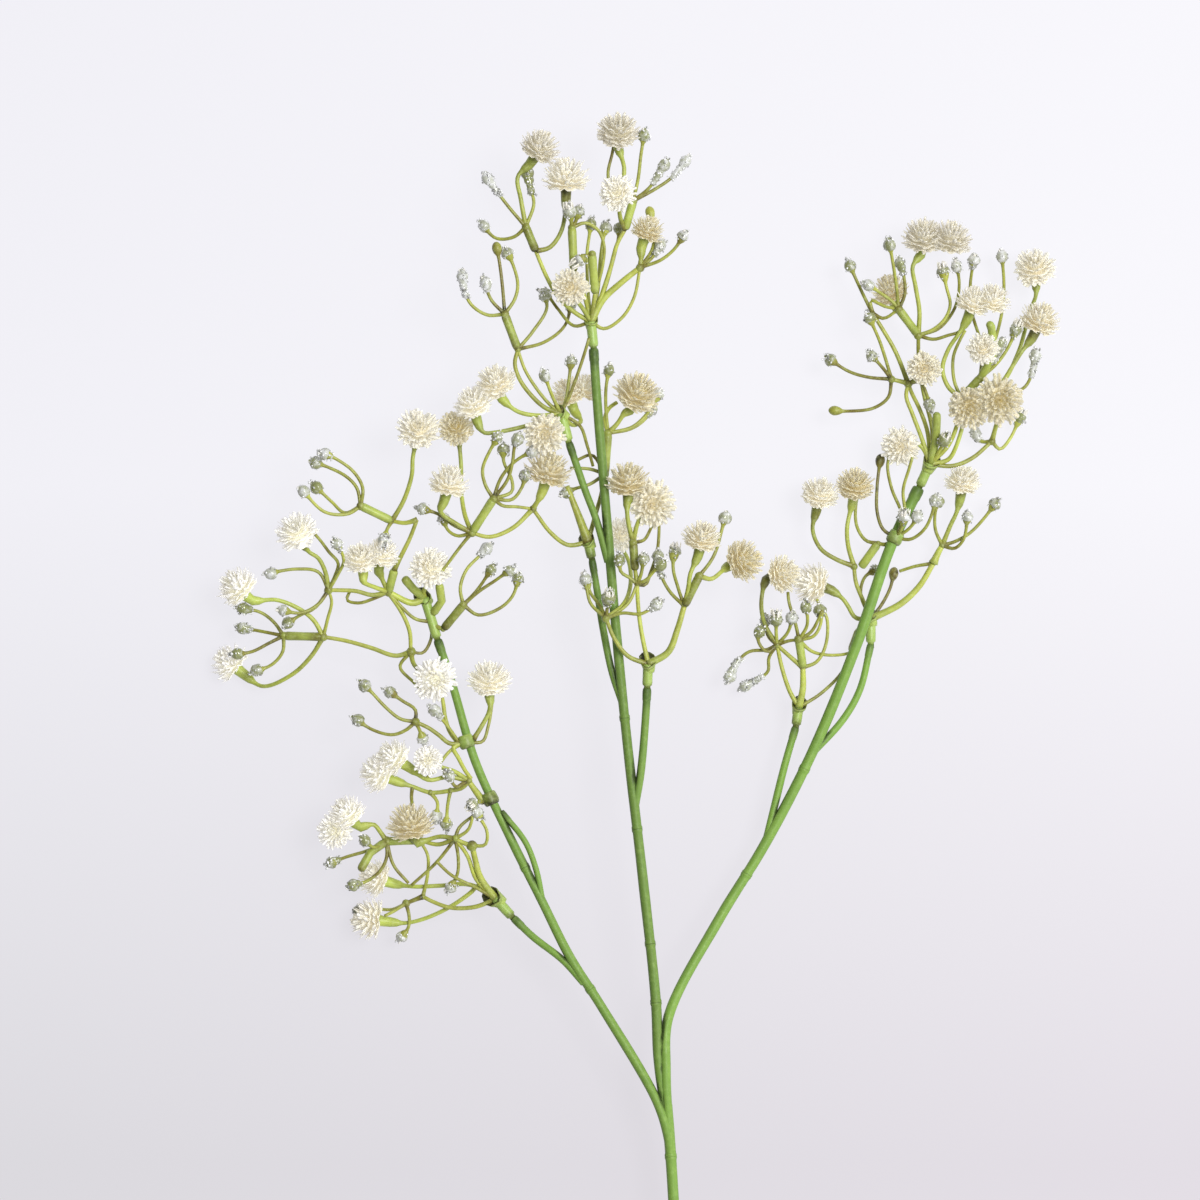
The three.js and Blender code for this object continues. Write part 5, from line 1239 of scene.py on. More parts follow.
LAYERS = [  # blades, how far out and how high the layer's foot, belly and tips are, a blade's width
    (21, (0.2, 0.05), (0.6, -0.14), (0.93, 0.02), 0.2),
    (24, (0.16, 0.1), (0.62, 0.1), (1.03, 0.36), 0.19),
    (22, (0.14, 0.16), (0.56, 0.3), (0.95, 0.74), 0.19),
    (18, (0.12, 0.2), (0.42, 0.52), (0.72, 1.08), 0.18),
    (12, (0.09, 0.24), (0.24, 0.62), (0.42, 1.26), 0.17),
    (5, (0.05, 0.28), (0.1, 0.65), (0.15, 1.3), 0.16),
]
FILM = 0.09 * MM  # half of the film's thickness
OPEN = 1.13  # how wide the film spreads, of the head's radius
LYING = 0.3  # how much lower a head is that faces straight up than one seen from the side
SKIRT_SHARE = 0.72  # of a layer that is whole film, before it is cut into blades
SKIRT_SIDES = 34
SKIRT_ROWS = (0.0, 0.3, 0.6, 1.0)  # shares of the skirt
PLEAT_HEIGHT = 0.09  # of the layer's reach
PLEAT_DEPTH = 0.05  # of its radius
PLEAT_SHIFT = 3  # a pleat goes in and out this many sides behind its rise
# A blade in a layer, and one that is free from its root: share of the way out, width
BLADE_ROWS = [(0.5, 0.8), (0.68, 0.95), (0.83, 1.0), (0.95, 0.86), (1.0, 0.5)]
FULL_BLADE_ROWS = [(0.0, 0.45), (0.3, 0.7), (0.6, 1.0), (0.88, 0.86), (1.0, 0.35)]
BLADE_LEAN = (-0.2, 0.2)  # how far its tip leans to the side, of its reach
BLADE_CURL = (-0.12, 0.3)  # how far its edges stand up, of its width
BLADE_THINNER = 0.5  # how much thinner its tip is
BLADE_STRETCH = (0.86, 1.04)
BLADE_TILT = (-0.09, 0.09)  # how far up or down its tip is, of the head's radius
BLADE_TURN = (-0.25, 0.25)  # how far out of its place, of the gap between two
BLADE_WIDTH = (0.75, 1.2)
WHISKER_ROWS = [  # share of the way out, radius in millimetres, tone
    (0.0, 0.14, (0.7, 0.3, 0.5)), (0.6, 0.11, (0.9, 0.2, 0.6)), (1.0, 0.05, (1.0, 0.1, 0.8)),
]
WHISKER_SIDES = 3
WHISKER_BEND = 1.4
WHISKER_OUT = (0.1, 0.85)  # how far out it stands, of the head's radius
WHISKER_FOOT = 0.6  # of the way to its tip
WHISKER_REACH = 1.15
WHISKER_RISE = (1.0, 1.13)
DOME = (1.3, 0.75)  # height of the head's middle, and how much lower its rim is

FILM_TONES = {  # how tan each tone of film is and how deep its colour, both from 0 to 1
    "white": (0.05, 0.02), "ivory": (0.28, 0.08), "cream": (0.4, 0.15), "straw": (0.68, 0.2),
    "tan": (1.0, 0.28), "grey": (0.2, 0.52),
}
BLOOM_TONES = {  # the tone of each bloom's film, by the number of its node
    "white": (18, 19, 20, 24, 26, 27, 29), "ivory": (4, 17, 21, 23, 25, 30, 44, 46),
    "cream": (2, 7, 12, 22, 31, 34, 36, 37, 40, 41, 43), "straw": (5, 8, 9, 15, 35, 38, 45, 47),
    "tan": (6, 10, 11, 13, 14, 16, 28, 33, 39, 42), "grey": (1, 3, 32),
}


def bend(spine, share):
    """Where a layer is at a share of its way out, as (out, up), and its slope there."""
    (r0, h0), (r1, h1), (r2, h2) = spine
    rest = 1 - share
    spot = (rest * rest * r0 + 2 * rest * share * r1 + share * share * r2,
            rest * rest * h0 + 2 * rest * share * h1 + share * share * h2)
    slope = (2 * rest * (r1 - r0) + 2 * share * (r2 - r1), 2 * rest * (h1 - h0) + 2 * share * (h2 - h1))
    return spot, slope


def film_tone(share, radius, span, warmth, shade):
    """The tone of a spot of film. It goes from 0 at the head's heart to 1 at its rim, and rises less in
    the layers that stay near the heart."""
    reach = share * (0.25 + 0.75 * min(1.0, radius / (0.7 * span)))
    return reach, warmth[0], shade, warmth[1]


def blade(shell, seat, angle, spine, width, rows, finish, warmth, span, draw):
    """A narrow strip of film. seat is the head's foot, its axis and two directions across."""
    foot, axis, across, up = seat
    out = across * math.cos(angle) + up * math.sin(angle)
    side = axis.cross(out).normalized()
    lean = draw.uniform(*BLADE_LEAN) * abs(spine[2][0])
    curl = draw.uniform(*BLADE_CURL)
    shade = draw.random()
    rings, tones = [], []
    for share, wide in rows:
        (radius, height), slope = bend(spine, share)
        along = (out * slope[0] + axis * slope[1]).normalized()
        normal = along.cross(side).normalized()
        centre = foot + out * radius + axis * height + side * (lean * share * share)
        half = side * (width * wide / 2)
        cup = normal * (width * wide * curl)
        thick = normal * (FILM * (1 - BLADE_THINNER * share))
        rings.append([centre - half + cup, centre - thick, centre + half + cup, centre + thick])
        tones.append(film_tone(share, radius, span, warmth, shade))
    shell.loft(rings, tones, finish)


def skirt(shell, seat, spine, finish, warmth, span, draw):
    """The whole middle of a layer of film, crimped into small pleats."""
    foot, axis, across, up = seat
    pleats = [draw.uniform(-1, 1) for _ in range(SKIRT_SIDES)]
    shade = draw.random()
    lower, upper, tones = [], [], []
    for row in SKIRT_ROWS:
        share = row * SKIRT_SHARE
        (radius, height), _ = bend(spine, share)
        points = []
        for i in range(SKIRT_SIDES):
            angle = TURN * i / SKIRT_SIDES
            out = across * math.cos(angle) + up * math.sin(angle)
            lift = PLEAT_HEIGHT * row * pleats[i] * abs(spine[2][0])
            wide = radius * (1 + PLEAT_DEPTH * row * pleats[i - PLEAT_SHIFT])
            points.append(foot + out * wide + axis * (height + lift))
        lower.append([point - axis * FILM for point in points])
        upper.append([point + axis * FILM for point in points])
        tones.append(film_tone(share, radius, span, warmth, shade))
    shell.loft(lower + upper[::-1], tones + tones[::-1], finish)


def whisker(shell, seat, angle, spine, finish):
    """A hair-fine thread of film that stands out of a head."""
    foot, axis, across, up = seat
    out = across * math.cos(angle) + up * math.sin(angle)
    (r0, h0), (r2, h2) = spine
    rings, tones = [], []
    for share, thick, tone in WHISKER_ROWS:
        radius, height = r0 + (r2 - r0) * share, h0 + (h2 - h0) * share ** WHISKER_BEND
        centre = foot + out * radius + axis * height
        rings.append(circle(centre, across, up, thick * MM, WHISKER_SIDES))
        tones.append(tone)
    shell.loft(rings, tones, finish)


def bloom_head(shell, head, warmth, settings, draw):
    """A head of layers of film, each a skirt cut into blades, and fine points between them."""
    centre, facing, size = head
    axis = direction(facing)
    across = side_of(axis)
    seat = (behind(head, 0.0), axis, across, axis.cross(across))
    radius = size * UNIT * OPEN
    tall = size * UNIT * (1 - LYING * max(axis.z, 0.0) ** 2)
    turn = draw.uniform(0, TURN)
    for count, *spots, wide in LAYERS:
        turn += math.pi / count
        flare = [(out * radius, high * tall) for out, high in spots]
        foot, belly, tip = flare
        skirt(shell, seat, flare, 0, warmth, radius, draw)
        blades = round(count * settings.fullness)
        for i in range(blades):
            if draw.random() < settings.gaps:
                continue
            stretch = draw.uniform(*BLADE_STRETCH)
            tilt = draw.uniform(*BLADE_TILT) * radius
            spine = [foot, (belly[0] * stretch, belly[1] + tilt / 2), (tip[0] * stretch, tip[1] + tilt)]
            angle = turn + TURN * (i + draw.uniform(*BLADE_TURN)) / blades
            width = wide * radius * draw.uniform(*BLADE_WIDTH)
            blade(shell, seat, angle, spine, width, BLADE_ROWS, 0, warmth, radius, draw)
    for _ in range(settings.whiskers):
        out = draw.uniform(*WHISKER_OUT)
        high = DOME[0] - DOME[1] * out ** 2
        spine = [
            (out * WHISKER_FOOT * radius, WHISKER_FOOT * high * tall),
            (out * WHISKER_REACH * radius, high * draw.uniform(*WHISKER_RISE) * tall)]
        whisker(shell, seat, draw.uniform(0, TURN), spine, 0)


# --- Materials ------------------------------------------------------------------------------------

MIX_FACTOR, MIX_A, MIX_B = 0, 6, 7  # the sockets of a Mix node of colours
MIX_COLOUR = 2  # its output

# How wide the patterns are
BLOTCH = 9 * MM  # patches of thick dye in the stem
STREAK = 2.2 * MM
STEM_RIPPLE = 1.3 * MM
CLOUD = 5 * MM  # older and younger patches on the sprays
FLOW_MARK = 1.5 * MM
# patches of painted glint on the frost's grains
GLINT_PATCH = 0.8 * MM
MILK = 1.7 * MM  # milky patches in the gel
FILM_CLOUD = 4 * MM
SPECK = 0.55 * MM  # where the film's fibres lie thick: 0.2 mm in fact, drawn coarser so that it shows
PAPER_TOOTH = 1.5 * MM  # the paper's fibres, drawn coarser too


def put(tree, kind, inputs=(), stops=(), **settings):
    """Adds a node. inputs maps a socket to a value, or to the node or output that feeds it."""
    node = tree.nodes.new(kind)
    for key, value in settings.items():
        setattr(node, key, value)
    for key, value in dict(inputs).items():
        if isinstance(value, bpy.types.Node):
            value = next(output for output in value.outputs if output.enabled)
        if isinstance(value, bpy.types.NodeSocket):
            tree.links.new(value, node.inputs[key])
        else:
            node.inputs[key].default_value = value
    for number, (position, colour) in enumerate(stops):
        elements = node.color_ramp.elements
        element = elements[number] if number < len(elements) else elements.new(position)
        element.position, element.color = position, colour
    return node


def new_material(name, **values):
    """A material, its tree and its shader, with the shader's plain values set."""
    material = bpy.data.materials.new(name)
    material.use_nodes = True
    shader = material.node_tree.nodes["Principled BSDF"]
    for key, value in values.items():
        shader.inputs[key.replace("_", " ")].default_value = value
    return material, material.node_tree, shader


def stem_material(settings):
    """Polyethylene, dyed through and injection moulded in a polished steel mould: an even satin green, a
    little darker in blotches where the dye is thick, with a soft broad highlight along each tube, and dark
    green where shade is painted in the sockets and creases."""
    material, tree, shader = new_material(
        "Moulded polyethylene, stem green", Subsurface_Weight=0.06,
        Subsurface_Radius=(0.0012, 0.0016, 0.0006), Specular_IOR_Level=0.25)
    spot = put(tree, "ShaderNodeTexCoord").outputs["Object"]
    tone = put(tree, "ShaderNodeAttribute", attribute_name="tone").outputs["Color"]
    age = put(tree, "ShaderNodeSeparateColor", {"Color": tone}).outputs["Red"]
    # The darkest stop also colours the painted shade in sockets and creases
    base = put(tree, "ShaderNodeValToRGB", {"Fac": age}, [
        (0.0, settings.young), (0.35, settings.green), (0.75, settings.dull), (1.0, settings.dark)])
    blotches = put(tree, "ShaderNodeTexNoise", {
        "Vector": spot, "Scale": 1 / BLOTCH, "Detail": 3.0, "Roughness": 0.6})
    dye = put(tree, "ShaderNodeMapRange", {
        "Value": blotches, "From Min": 0.35, "From Max": 0.7, "To Max": 0.45})
    dyed = put(tree, "ShaderNodeMix", {
        MIX_FACTOR: dye, MIX_A: base, MIX_B: settings.shade}, data_type="RGBA")
    streaks = put(tree, "ShaderNodeTexNoise", {"Vector": spot, "Scale": 1 / STREAK, "Detail": 3.0})
    pale = put(tree, "ShaderNodeMapRange", {
        "Value": streaks, "From Min": 0.5, "From Max": 0.8, "To Max": 0.3})
    colour = put(tree, "ShaderNodeMix", {
        MIX_FACTOR: pale, MIX_A: dyed, MIX_B: settings.streak}, data_type="RGBA")
    tree.links.new(colour.outputs[MIX_COLOUR], shader.inputs["Base Color"])
    flow = put(tree, "ShaderNodeTexNoise", {"Vector": spot, "Scale": 1 / STEM_RIPPLE, "Detail": 2.0})
    satin = put(tree, "ShaderNodeMapRange", {
        "Value": flow, "From Min": 0.3, "From Max": 0.7, "To Min": 0.38, "To Max": 0.56})
    tree.links.new(satin.outputs["Result"], shader.inputs["Roughness"])
    ripple = put(tree, "ShaderNodeBump", {"Strength": 0.25, "Distance": 0.12 * MM, "Height": flow})
    tree.links.new(ripple.outputs["Normal"], shader.inputs["Normal"])
    return material


def spray_material(settings):
    """Soft polyethylene from a many-cavity mould, thin enough to pass a little light: satin, yellow-green
    where the part is young, olive to brown-green where it is old, with pale flow marks, and painted shade
    at the roots of shoots and inside the hubs."""
    material, tree, shader = new_material(
        "Moulded soft polyethylene, spray olive", Subsurface_Weight=0.12,
        Subsurface_Radius=(0.0012, 0.0015, 0.0005), Specular_IOR_Level=0.45)
    spot = put(tree, "ShaderNodeTexCoord").outputs["Object"]
    tone = put(tree, "ShaderNodeAttribute", attribute_name="tone").outputs["Color"]
    parts = put(tree, "ShaderNodeSeparateColor", {"Color": tone})
    clouds = put(tree, "ShaderNodeTexNoise", {
        "Vector": spot, "Scale": 1 / CLOUD, "Detail": 3.0, "Roughness": 0.6})
    drift = put(tree, "ShaderNodeMapRange", {
        "Value": clouds, "From Min": 0.3, "From Max": 0.7, "To Min": -0.16, "To Max": 0.16})
    aged = put(tree, "ShaderNodeMath", {0: parts.outputs["Red"], 1: drift}, operation="ADD")
    # The last stop colours the painted shade inside the hubs and at the darkest roots of shoots
    plain = put(tree, "ShaderNodeValToRGB", {"Fac": aged}, [
        (0.0, settings.fresh), (0.3, settings.olive), (0.55, settings.deep), (0.8, settings.brown),
        (1.0, settings.hollow_shade)])
    rooted = put(tree, "ShaderNodeValToRGB", {"Fac": aged}, [
        (0.0, settings.root), (0.45, settings.root), (0.8, settings.root_dark), (1.0, settings.hollow_shade)])
    base = put(tree, "ShaderNodeMix", {
        MIX_FACTOR: parts.outputs["Green"], MIX_A: plain, MIX_B: rooted}, data_type="RGBA")
    marks = put(tree, "ShaderNodeTexNoise", {
        "Vector": spot, "Scale": 1 / FLOW_MARK, "Detail": 2.0, "Roughness": 0.6})
    flow = put(tree, "ShaderNodeMapRange", {
        "Value": marks, "From Min": 0.48, "From Max": 0.8, "To Max": 0.4})
    colour = put(tree, "ShaderNodeMix", {
        MIX_FACTOR: flow, MIX_A: base, MIX_B: settings.pale}, data_type="RGBA")
    tree.links.new(colour.outputs[MIX_COLOUR], shader.inputs["Base Color"])
    satin = put(tree, "ShaderNodeMapRange", {
        "Value": marks, "From Min": 0.3, "From Max": 0.7, "To Min": 0.32, "To Max": 0.5})
    tree.links.new(satin.outputs["Result"], shader.inputs["Roughness"])
    ripple = put(tree, "ShaderNodeBump", {"Strength": 0.35, "Distance": 0.1 * MM, "Height": marks})
    tree.links.new(ripple.outputs["Normal"], shader.inputs["Normal"])
    return material


def frost_material(settings):
    """Clear acrylic gel round the buds, with grains of it at the tips: the green of the bud shows through
    it, in milky patches, and the grains are drawn grey to white at random, the whitest as painted glints."""
    material, tree, shader = new_material(
        "Clear acrylic gel, dipped", Roughness=0.16, Subsurface_Weight=0.2,
        Subsurface_Radius=(0.0006, 0.0006, 0.0006), Specular_IOR_Level=0.6)
    spot = put(tree, "ShaderNodeTexCoord").outputs["Object"]
    tone = put(tree, "ShaderNodeAttribute", attribute_name="tone")
    chance = put(tree, "ShaderNodeSeparateColor", {"Color": tone.outputs["Color"]}).outputs["Red"]
    clouds = put(tree, "ShaderNodeTexNoise", {"Vector": spot, "Scale": 1 / GLINT_PATCH, "Detail": 2.0})
    drift = put(tree, "ShaderNodeMapRange", {
        "Value": clouds, "From Min": 0.3, "From Max": 0.7, "To Min": -0.2, "To Max": 0.2})
    # Painted glints: how white each grain is drawn
    grain_glint = put(tree, "ShaderNodeMath", {0: chance, 1: drift}, operation="ADD")
    colour = put(tree, "ShaderNodeValToRGB", {"Fac": grain_glint}, [
        (0.0, settings.frost_grey), (0.45, settings.frost_pale), (1.0, settings.frost_glint)])
    milk = put(tree, "ShaderNodeTexNoise", {"Vector": spot, "Scale": 1 / MILK, "Detail": 2.0})
    milky = put(tree, "ShaderNodeMapRange", {
        "Value": milk, "From Min": 0.42, "From Max": 0.66, "To Max": 0.65})
    own = put(tree, "ShaderNodeMapRange", {"Value": chance, "To Min": -0.3, "To Max": 0.6})
    thick = put(tree, "ShaderNodeMath", {0: milky, 1: own}, operation="ADD", use_clamp=True)
    gel = put(tree, "ShaderNodeMix", {
        MIX_FACTOR: thick, MIX_A: settings.gel, MIX_B: settings.frost_pale}, data_type="RGBA")
    coat = put(tree, "ShaderNodeMix", {
        MIX_FACTOR: tone.outputs["Alpha"], MIX_A: gel, MIX_B: colour}, data_type="RGBA")
    tree.links.new(coat.outputs[MIX_COLOUR], shader.inputs["Base Color"])
    lumpy = put(tree, "ShaderNodeBump", {"Strength": 0.6, "Distance": 0.3 * MM, "Height": milk})
    tree.links.new(lumpy.outputs["Normal"], shader.inputs["Normal"])
    return material


def film_material(settings):
    """Non-woven polyester film, die-cut into fringes and crimped: matt and milky, so that light passes
    from blade to blade, and made to glow a little in its own colour, painted light that lifts the shade
    between the blades. Cream to tan at the heart, paler at the points, with grey specks where the fibres
    lie thick and white specks painted as glints."""
    # The emission is painted light: a glow in the film's own colour that lifts the shade between blades
    material, tree, shader = new_material(
        "Die-cut polyester film, cream", Roughness=0.5, Subsurface_Weight=1.0,
        Subsurface_Radius=(0.0066, 0.0066, 0.0062), Specular_IOR_Level=0.3, Emission_Strength=0.27)
    spot = put(tree, "ShaderNodeTexCoord").outputs["Object"]
    tone = put(tree, "ShaderNodeAttribute", attribute_name="tone")
    parts = put(tree, "ShaderNodeSeparateColor", {"Color": tone.outputs["Color"]})
    out = put(tree, "ShaderNodeMapRange", {
        "Value": parts.outputs["Red"], "From Min": 0.12, "From Max": 0.85})
    white = put(tree, "ShaderNodeMix", {
        MIX_FACTOR: out, MIX_A: settings.white_heart, MIX_B: settings.white_tip}, data_type="RGBA")
    cream = put(tree, "ShaderNodeMix", {
        MIX_FACTOR: out, MIX_A: settings.cream_heart, MIX_B: settings.cream_tip}, data_type="RGBA")
    tan = put(tree, "ShaderNodeMix", {
        MIX_FACTOR: out, MIX_A: settings.tan_heart, MIX_B: settings.tan_tip}, data_type="RGBA")
    clouds = put(tree, "ShaderNodeTexNoise", {"Vector": spot, "Scale": 1 / FILM_CLOUD, "Detail": 2.0})
    drift = put(tree, "ShaderNodeMapRange", {
        "Value": clouds, "From Min": 0.3, "From Max": 0.7, "To Min": -0.1, "To Max": 0.1})
    warm = put(tree, "ShaderNodeMath", {0: parts.outputs["Green"], 1: drift}, operation="ADD")
    to_cream = put(tree, "ShaderNodeMapRange", {"Value": warm, "From Max": 0.5})
    to_tan = put(tree, "ShaderNodeMapRange", {"Value": warm, "From Min": 0.5, "From Max": 1.0})
    creamy = put(tree, "ShaderNodeMix", {
        MIX_FACTOR: to_cream, MIX_A: white, MIX_B: cream}, data_type="RGBA")
    base = put(tree, "ShaderNodeMix", {MIX_FACTOR: to_tan, MIX_A: creamy, MIX_B: tan}, data_type="RGBA")
    deeper = put(tree, "ShaderNodeMix", {
        MIX_FACTOR: tone.outputs["Alpha"], MIX_A: base, MIX_B: settings.depth},
        data_type="RGBA", blend_type="MULTIPLY")
    specks = put(tree, "ShaderNodeTexNoise", {"Vector": spot, "Scale": 1 / SPECK, "Detail": 1.0})
    thick = put(tree, "ShaderNodeMapRange", {
        "Value": specks, "From Min": 0.56, "From Max": 0.68, "To Max": 0.3})
    # Painted glints: white specks where the speck noise is low
    bright = put(tree, "ShaderNodeMapRange", {
        "Value": specks, "From Min": 0.44, "From Max": 0.34, "To Max": 0.55})
    dotted = put(tree, "ShaderNodeMix", {
        MIX_FACTOR: thick, MIX_A: deeper, MIX_B: settings.speck_grey}, data_type="RGBA")
    lit = put(tree, "ShaderNodeMix", {
        MIX_FACTOR: bright, MIX_A: dotted, MIX_B: settings.speck_glint}, data_type="RGBA")
    share = put(tree, "ShaderNodeMapRange", {"Value": parts.outputs["Blue"], "To Max": 0.1})
    colour = put(tree, "ShaderNodeMix", {
        MIX_FACTOR: share, MIX_A: lit, MIX_B: settings.speck_grey}, data_type="RGBA")
    tree.links.new(colour.outputs[MIX_COLOUR], shader.inputs["Base Color"])
    # Painted light: the film glows in its own colour
    tree.links.new(colour.outputs[MIX_COLOUR], shader.inputs["Emission Color"])
    crimp = put(tree, "ShaderNodeBump", {"Strength": 0.4, "Distance": 0.08 * MM, "Height": specks})
    tree.links.new(crimp.outputs["Normal"], shader.inputs["Normal"])
    return material


def ground_material(settings):
    """Translucent background paper, lit a little from below as on a light table: matt and pale, with a slow
    fall of light across it painted into its glow and colour."""
    material, tree, shader = new_material(
        "Translucent background paper, pale grey", Roughness=0.9, Specular_IOR_Level=0.1,
        Emission_Strength=settings.glow)
    spot = put(tree, "ShaderNodeTexCoord").outputs["Object"]
    parts = put(tree, "ShaderNodeSeparateXYZ", {"Vector": spot})
    up = put(tree, "ShaderNodeMapRange", {
        "Value": parts.outputs["Y"], "From Min": -0.1, "From Max": 0.16})
    right = put(tree, "ShaderNodeMapRange", {
        "Value": parts.outputs["X"], "From Min": -0.23, "From Max": 0.2})
    # Painted light: the paper is brighter to the top right and darker to the lower left
    low = put(tree, "ShaderNodeMix", {
        MIX_FACTOR: right, MIX_A: settings.low_left, MIX_B: settings.low_right}, data_type="RGBA")
    high = put(tree, "ShaderNodeMix", {
        MIX_FACTOR: right, MIX_A: settings.top_left, MIX_B: settings.top_right}, data_type="RGBA")
    colour = put(tree, "ShaderNodeMix", {MIX_FACTOR: up, MIX_A: low, MIX_B: high}, data_type="RGBA")
    tree.links.new(colour.outputs[MIX_COLOUR], shader.inputs["Emission Color"])
    paper = put(tree, "ShaderNodeMix", {
        MIX_FACTOR: 1.0, MIX_A: colour, MIX_B: settings.paper}, data_type="RGBA", blend_type="MULTIPLY")
    tree.links.new(paper.outputs[MIX_COLOUR], shader.inputs["Base Color"])
    fibres = put(tree, "ShaderNodeTexNoise", {"Vector": spot, "Scale": 1 / PAPER_TOOTH, "Detail": 3.0})
    tooth = put(tree, "ShaderNodeBump", {"Strength": 0.05, "Distance": 0.05 * MM, "Height": fibres})
    tree.links.new(tooth.outputs["Normal"], shader.inputs["Normal"])
    return material


# --- Settings -------------------------------------------------------------------------------------


def tint(code):
    """The linear colour of an sRGB hex code."""
    channels = [int(code[i:i + 2], 16) / 255 for i in (1, 3, 5)]
    return (*[c / 12.92 if c <= 0.04045 else ((c + 0.055) / 1.055) ** 2.4 for c in channels], 1.0)


def swatch(name, code, description):
    return bpy.props.FloatVectorProperty(
        name=name, description=description, default=tint(code), subtype="COLOR", size=4, min=0.0, max=1.0)


class StemSettings(bpy.types.PropertyGroup):
    seed: bpy.props.IntProperty(name="Seed", description="Start of the stem's random draws", default=3)
    joint_height: bpy.props.FloatProperty(
        name="Joint height", description="How far a raised joint stands out", default=0.24 * MM,
        unit="LENGTH", precision=5)
    young: swatch("Young", "#94BF54", "Stem green where it is freshest")
    green: swatch("Green", "#81A947", "Stem green along the base")
    dull: swatch("Dull", "#6F8B40", "Stem green along the middle branch")
    # Also the painted shade in the sockets and creases, and the darkest joint grooves
    dark: swatch("Dark", "#37451F", "In the sockets")
    shade: swatch("Blotch", "#66873F", "Darker blotches")
    streak: swatch("Streak", "#9FBD66", "Pale streaks")


class SpraySettings(bpy.types.PropertyGroup):
    seed: bpy.props.IntProperty(name="Seed", description="Start of the sprays' random draws", default=11)
    frost: bpy.props.IntProperty(
        name="Frost", description="Clear grains on a bud", default=22, min=0, max=90)
    fresh: swatch("Fresh", "#C6CE5A", "Youngest rays and cups")
    olive: swatch("Olive", "#AEAF4A", "Most of the rays")
    deep: swatch("Deep", "#93933C", "Older rays")
    brown: swatch("Brown", "#776B2D", "Tips and knots")
    root: swatch("Root", "#96B25A", "Where a spray leaves its socket")
    root_dark: swatch("Dark root", "#5B6B2E", "The same, in its old parts")
    # Painted shade inside the hubs
    hollow_shade: swatch("Hollow", "#33341A", "Inside the hubs")
    pale: swatch("Pale", "#BCC587", "Flow marks")
    gel: swatch("Gel", "#868B5A", "Gel round the buds")
    frost_grey: swatch("Frost grey", "#83837B", "Darkest grains")
    frost_pale: swatch("Frost pale", "#D2D3D1", "Most grains, and milky gel")
    # Painted glints on the brightest grains
    frost_glint: swatch("Frost white", "#FCFCFC", "Brightest grains")


class BloomSettings(bpy.types.PropertyGroup):
    seed: bpy.props.IntProperty(name="Seed", description="Start of the blooms' random draws", default=29)
    fullness: bpy.props.FloatProperty(
        name="Fullness", description="Petals, of a full head", default=1.0, min=0.3, max=1.5)
    gaps: bpy.props.FloatProperty(
        name="Gaps", description="Share of the petals that are missing", default=0.05, min=0.0, max=0.5)
    whiskers: bpy.props.IntProperty(
        name="Whiskers", description="Fine points in a head", default=26, min=0, max=40)
    white_heart: swatch("White heart", "#E4E2D2", "Heart of a white bloom")
    white_tip: swatch("White tip", "#E8E5E0", "Petal points of a white bloom")
    cream_heart: swatch("Cream heart", "#DED6BE", "Heart of a cream bloom")
    cream_tip: swatch("Cream tip", "#E0DCCC", "Petal points of a cream bloom")
    tan_heart: swatch("Tan heart", "#CDBF8D", "Heart of a tan bloom")
    tan_tip: swatch("Tan tip", "#CFC7AB", "Petal points of a tan bloom")
    depth: swatch("Depth", "#B4AC98", "What deepens a bloom's film")
    speck_grey: swatch("Grey speck", "#BDB9AC", "Specks where the film is thick")
    # Painted glints on the film
    speck_glint: swatch("White speck", "#EFEEE8", "Specks that catch light")


class StageSettings(bpy.types.PropertyGroup):
    camera_height: bpy.props.FloatProperty(
        name="Camera height", description="From the surface", default=3.0, unit="LENGTH")
    lens: bpy.props.FloatProperty(name="Lens", description="Focal length", default=234.3, unit="CAMERA")
    sky: bpy.props.FloatProperty(name="Sky", description="Strength of the even light", default=0.6, min=0.0)
    lean: bpy.props.FloatProperty(
        name="Lean", description="How much more of it comes from the right", default=1.0, min=0.0, max=1.0)
    key: bpy.props.FloatProperty(
        name="Key light", description="Strength of the light from above", default=2.4, min=0.0)
    softness: bpy.props.FloatProperty(
        name="Softness", description="Width of the key light, seen from the surface",
        default=math.radians(24), subtype="ANGLE")
    glow: bpy.props.FloatProperty(
        name="Glow", description="Light that the paper passes from below", default=0.9, min=0.0)
    paper: swatch("Paper", "#4B4B4B", "What the paper throws back, of its colour")
    top_left: swatch("Ground, top left", "#F2F1F7", "Paper at the top left")
    top_right: swatch("Ground, top right", "#F9F8FD", "Paper at the top right")
    low_left: swatch("Ground, low left", "#DCDADF", "Paper at the lower left")
    low_right: swatch("Ground, low right", "#E4DFE6", "Paper at the lower right")


# --- Operators ------------------------------------------------------------------------------------

GROUND_SIZE = 12.0
LAMP_PLACE = (0.5, 0.2, 1.3)
SKY_COLOUR = "#FDFDFF"
SKY_EDGE = 0.8  # how far to each side the sky's strength changes, from -1 to 1
SENSOR_WIDTH = 36.0  # in millimetres
CAMERA_X = -13.338 * MM  # over the middle of the sprays
CAMERA_Y = 115.558 * MM


def clear(name):
    old = bpy.data.objects.get(name)
    if old:
        bpy.data.objects.remove(old, do_unlink=True)


def settle(piece, node):
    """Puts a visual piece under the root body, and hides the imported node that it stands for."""
    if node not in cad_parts:
        raise RuntimeError(f"the packed part has no node named {node}")
    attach(piece, "root")
    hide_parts(node)


class GYPSOPHILA_OT_stem(bpy.types.Operator):
    """Builds the main stem with its joints, sockets and parting lines"""

    bl_idname = "gypsophila.stem"
    bl_label = "Build Stem"

    def execute(self, context):
        settings = context.scene.gypsophila_stem
        clear("main_stem")
        settle(build_stem(settings).piece("main_stem", [stem_material(settings)]), "stem")
        return {"FINISHED"}


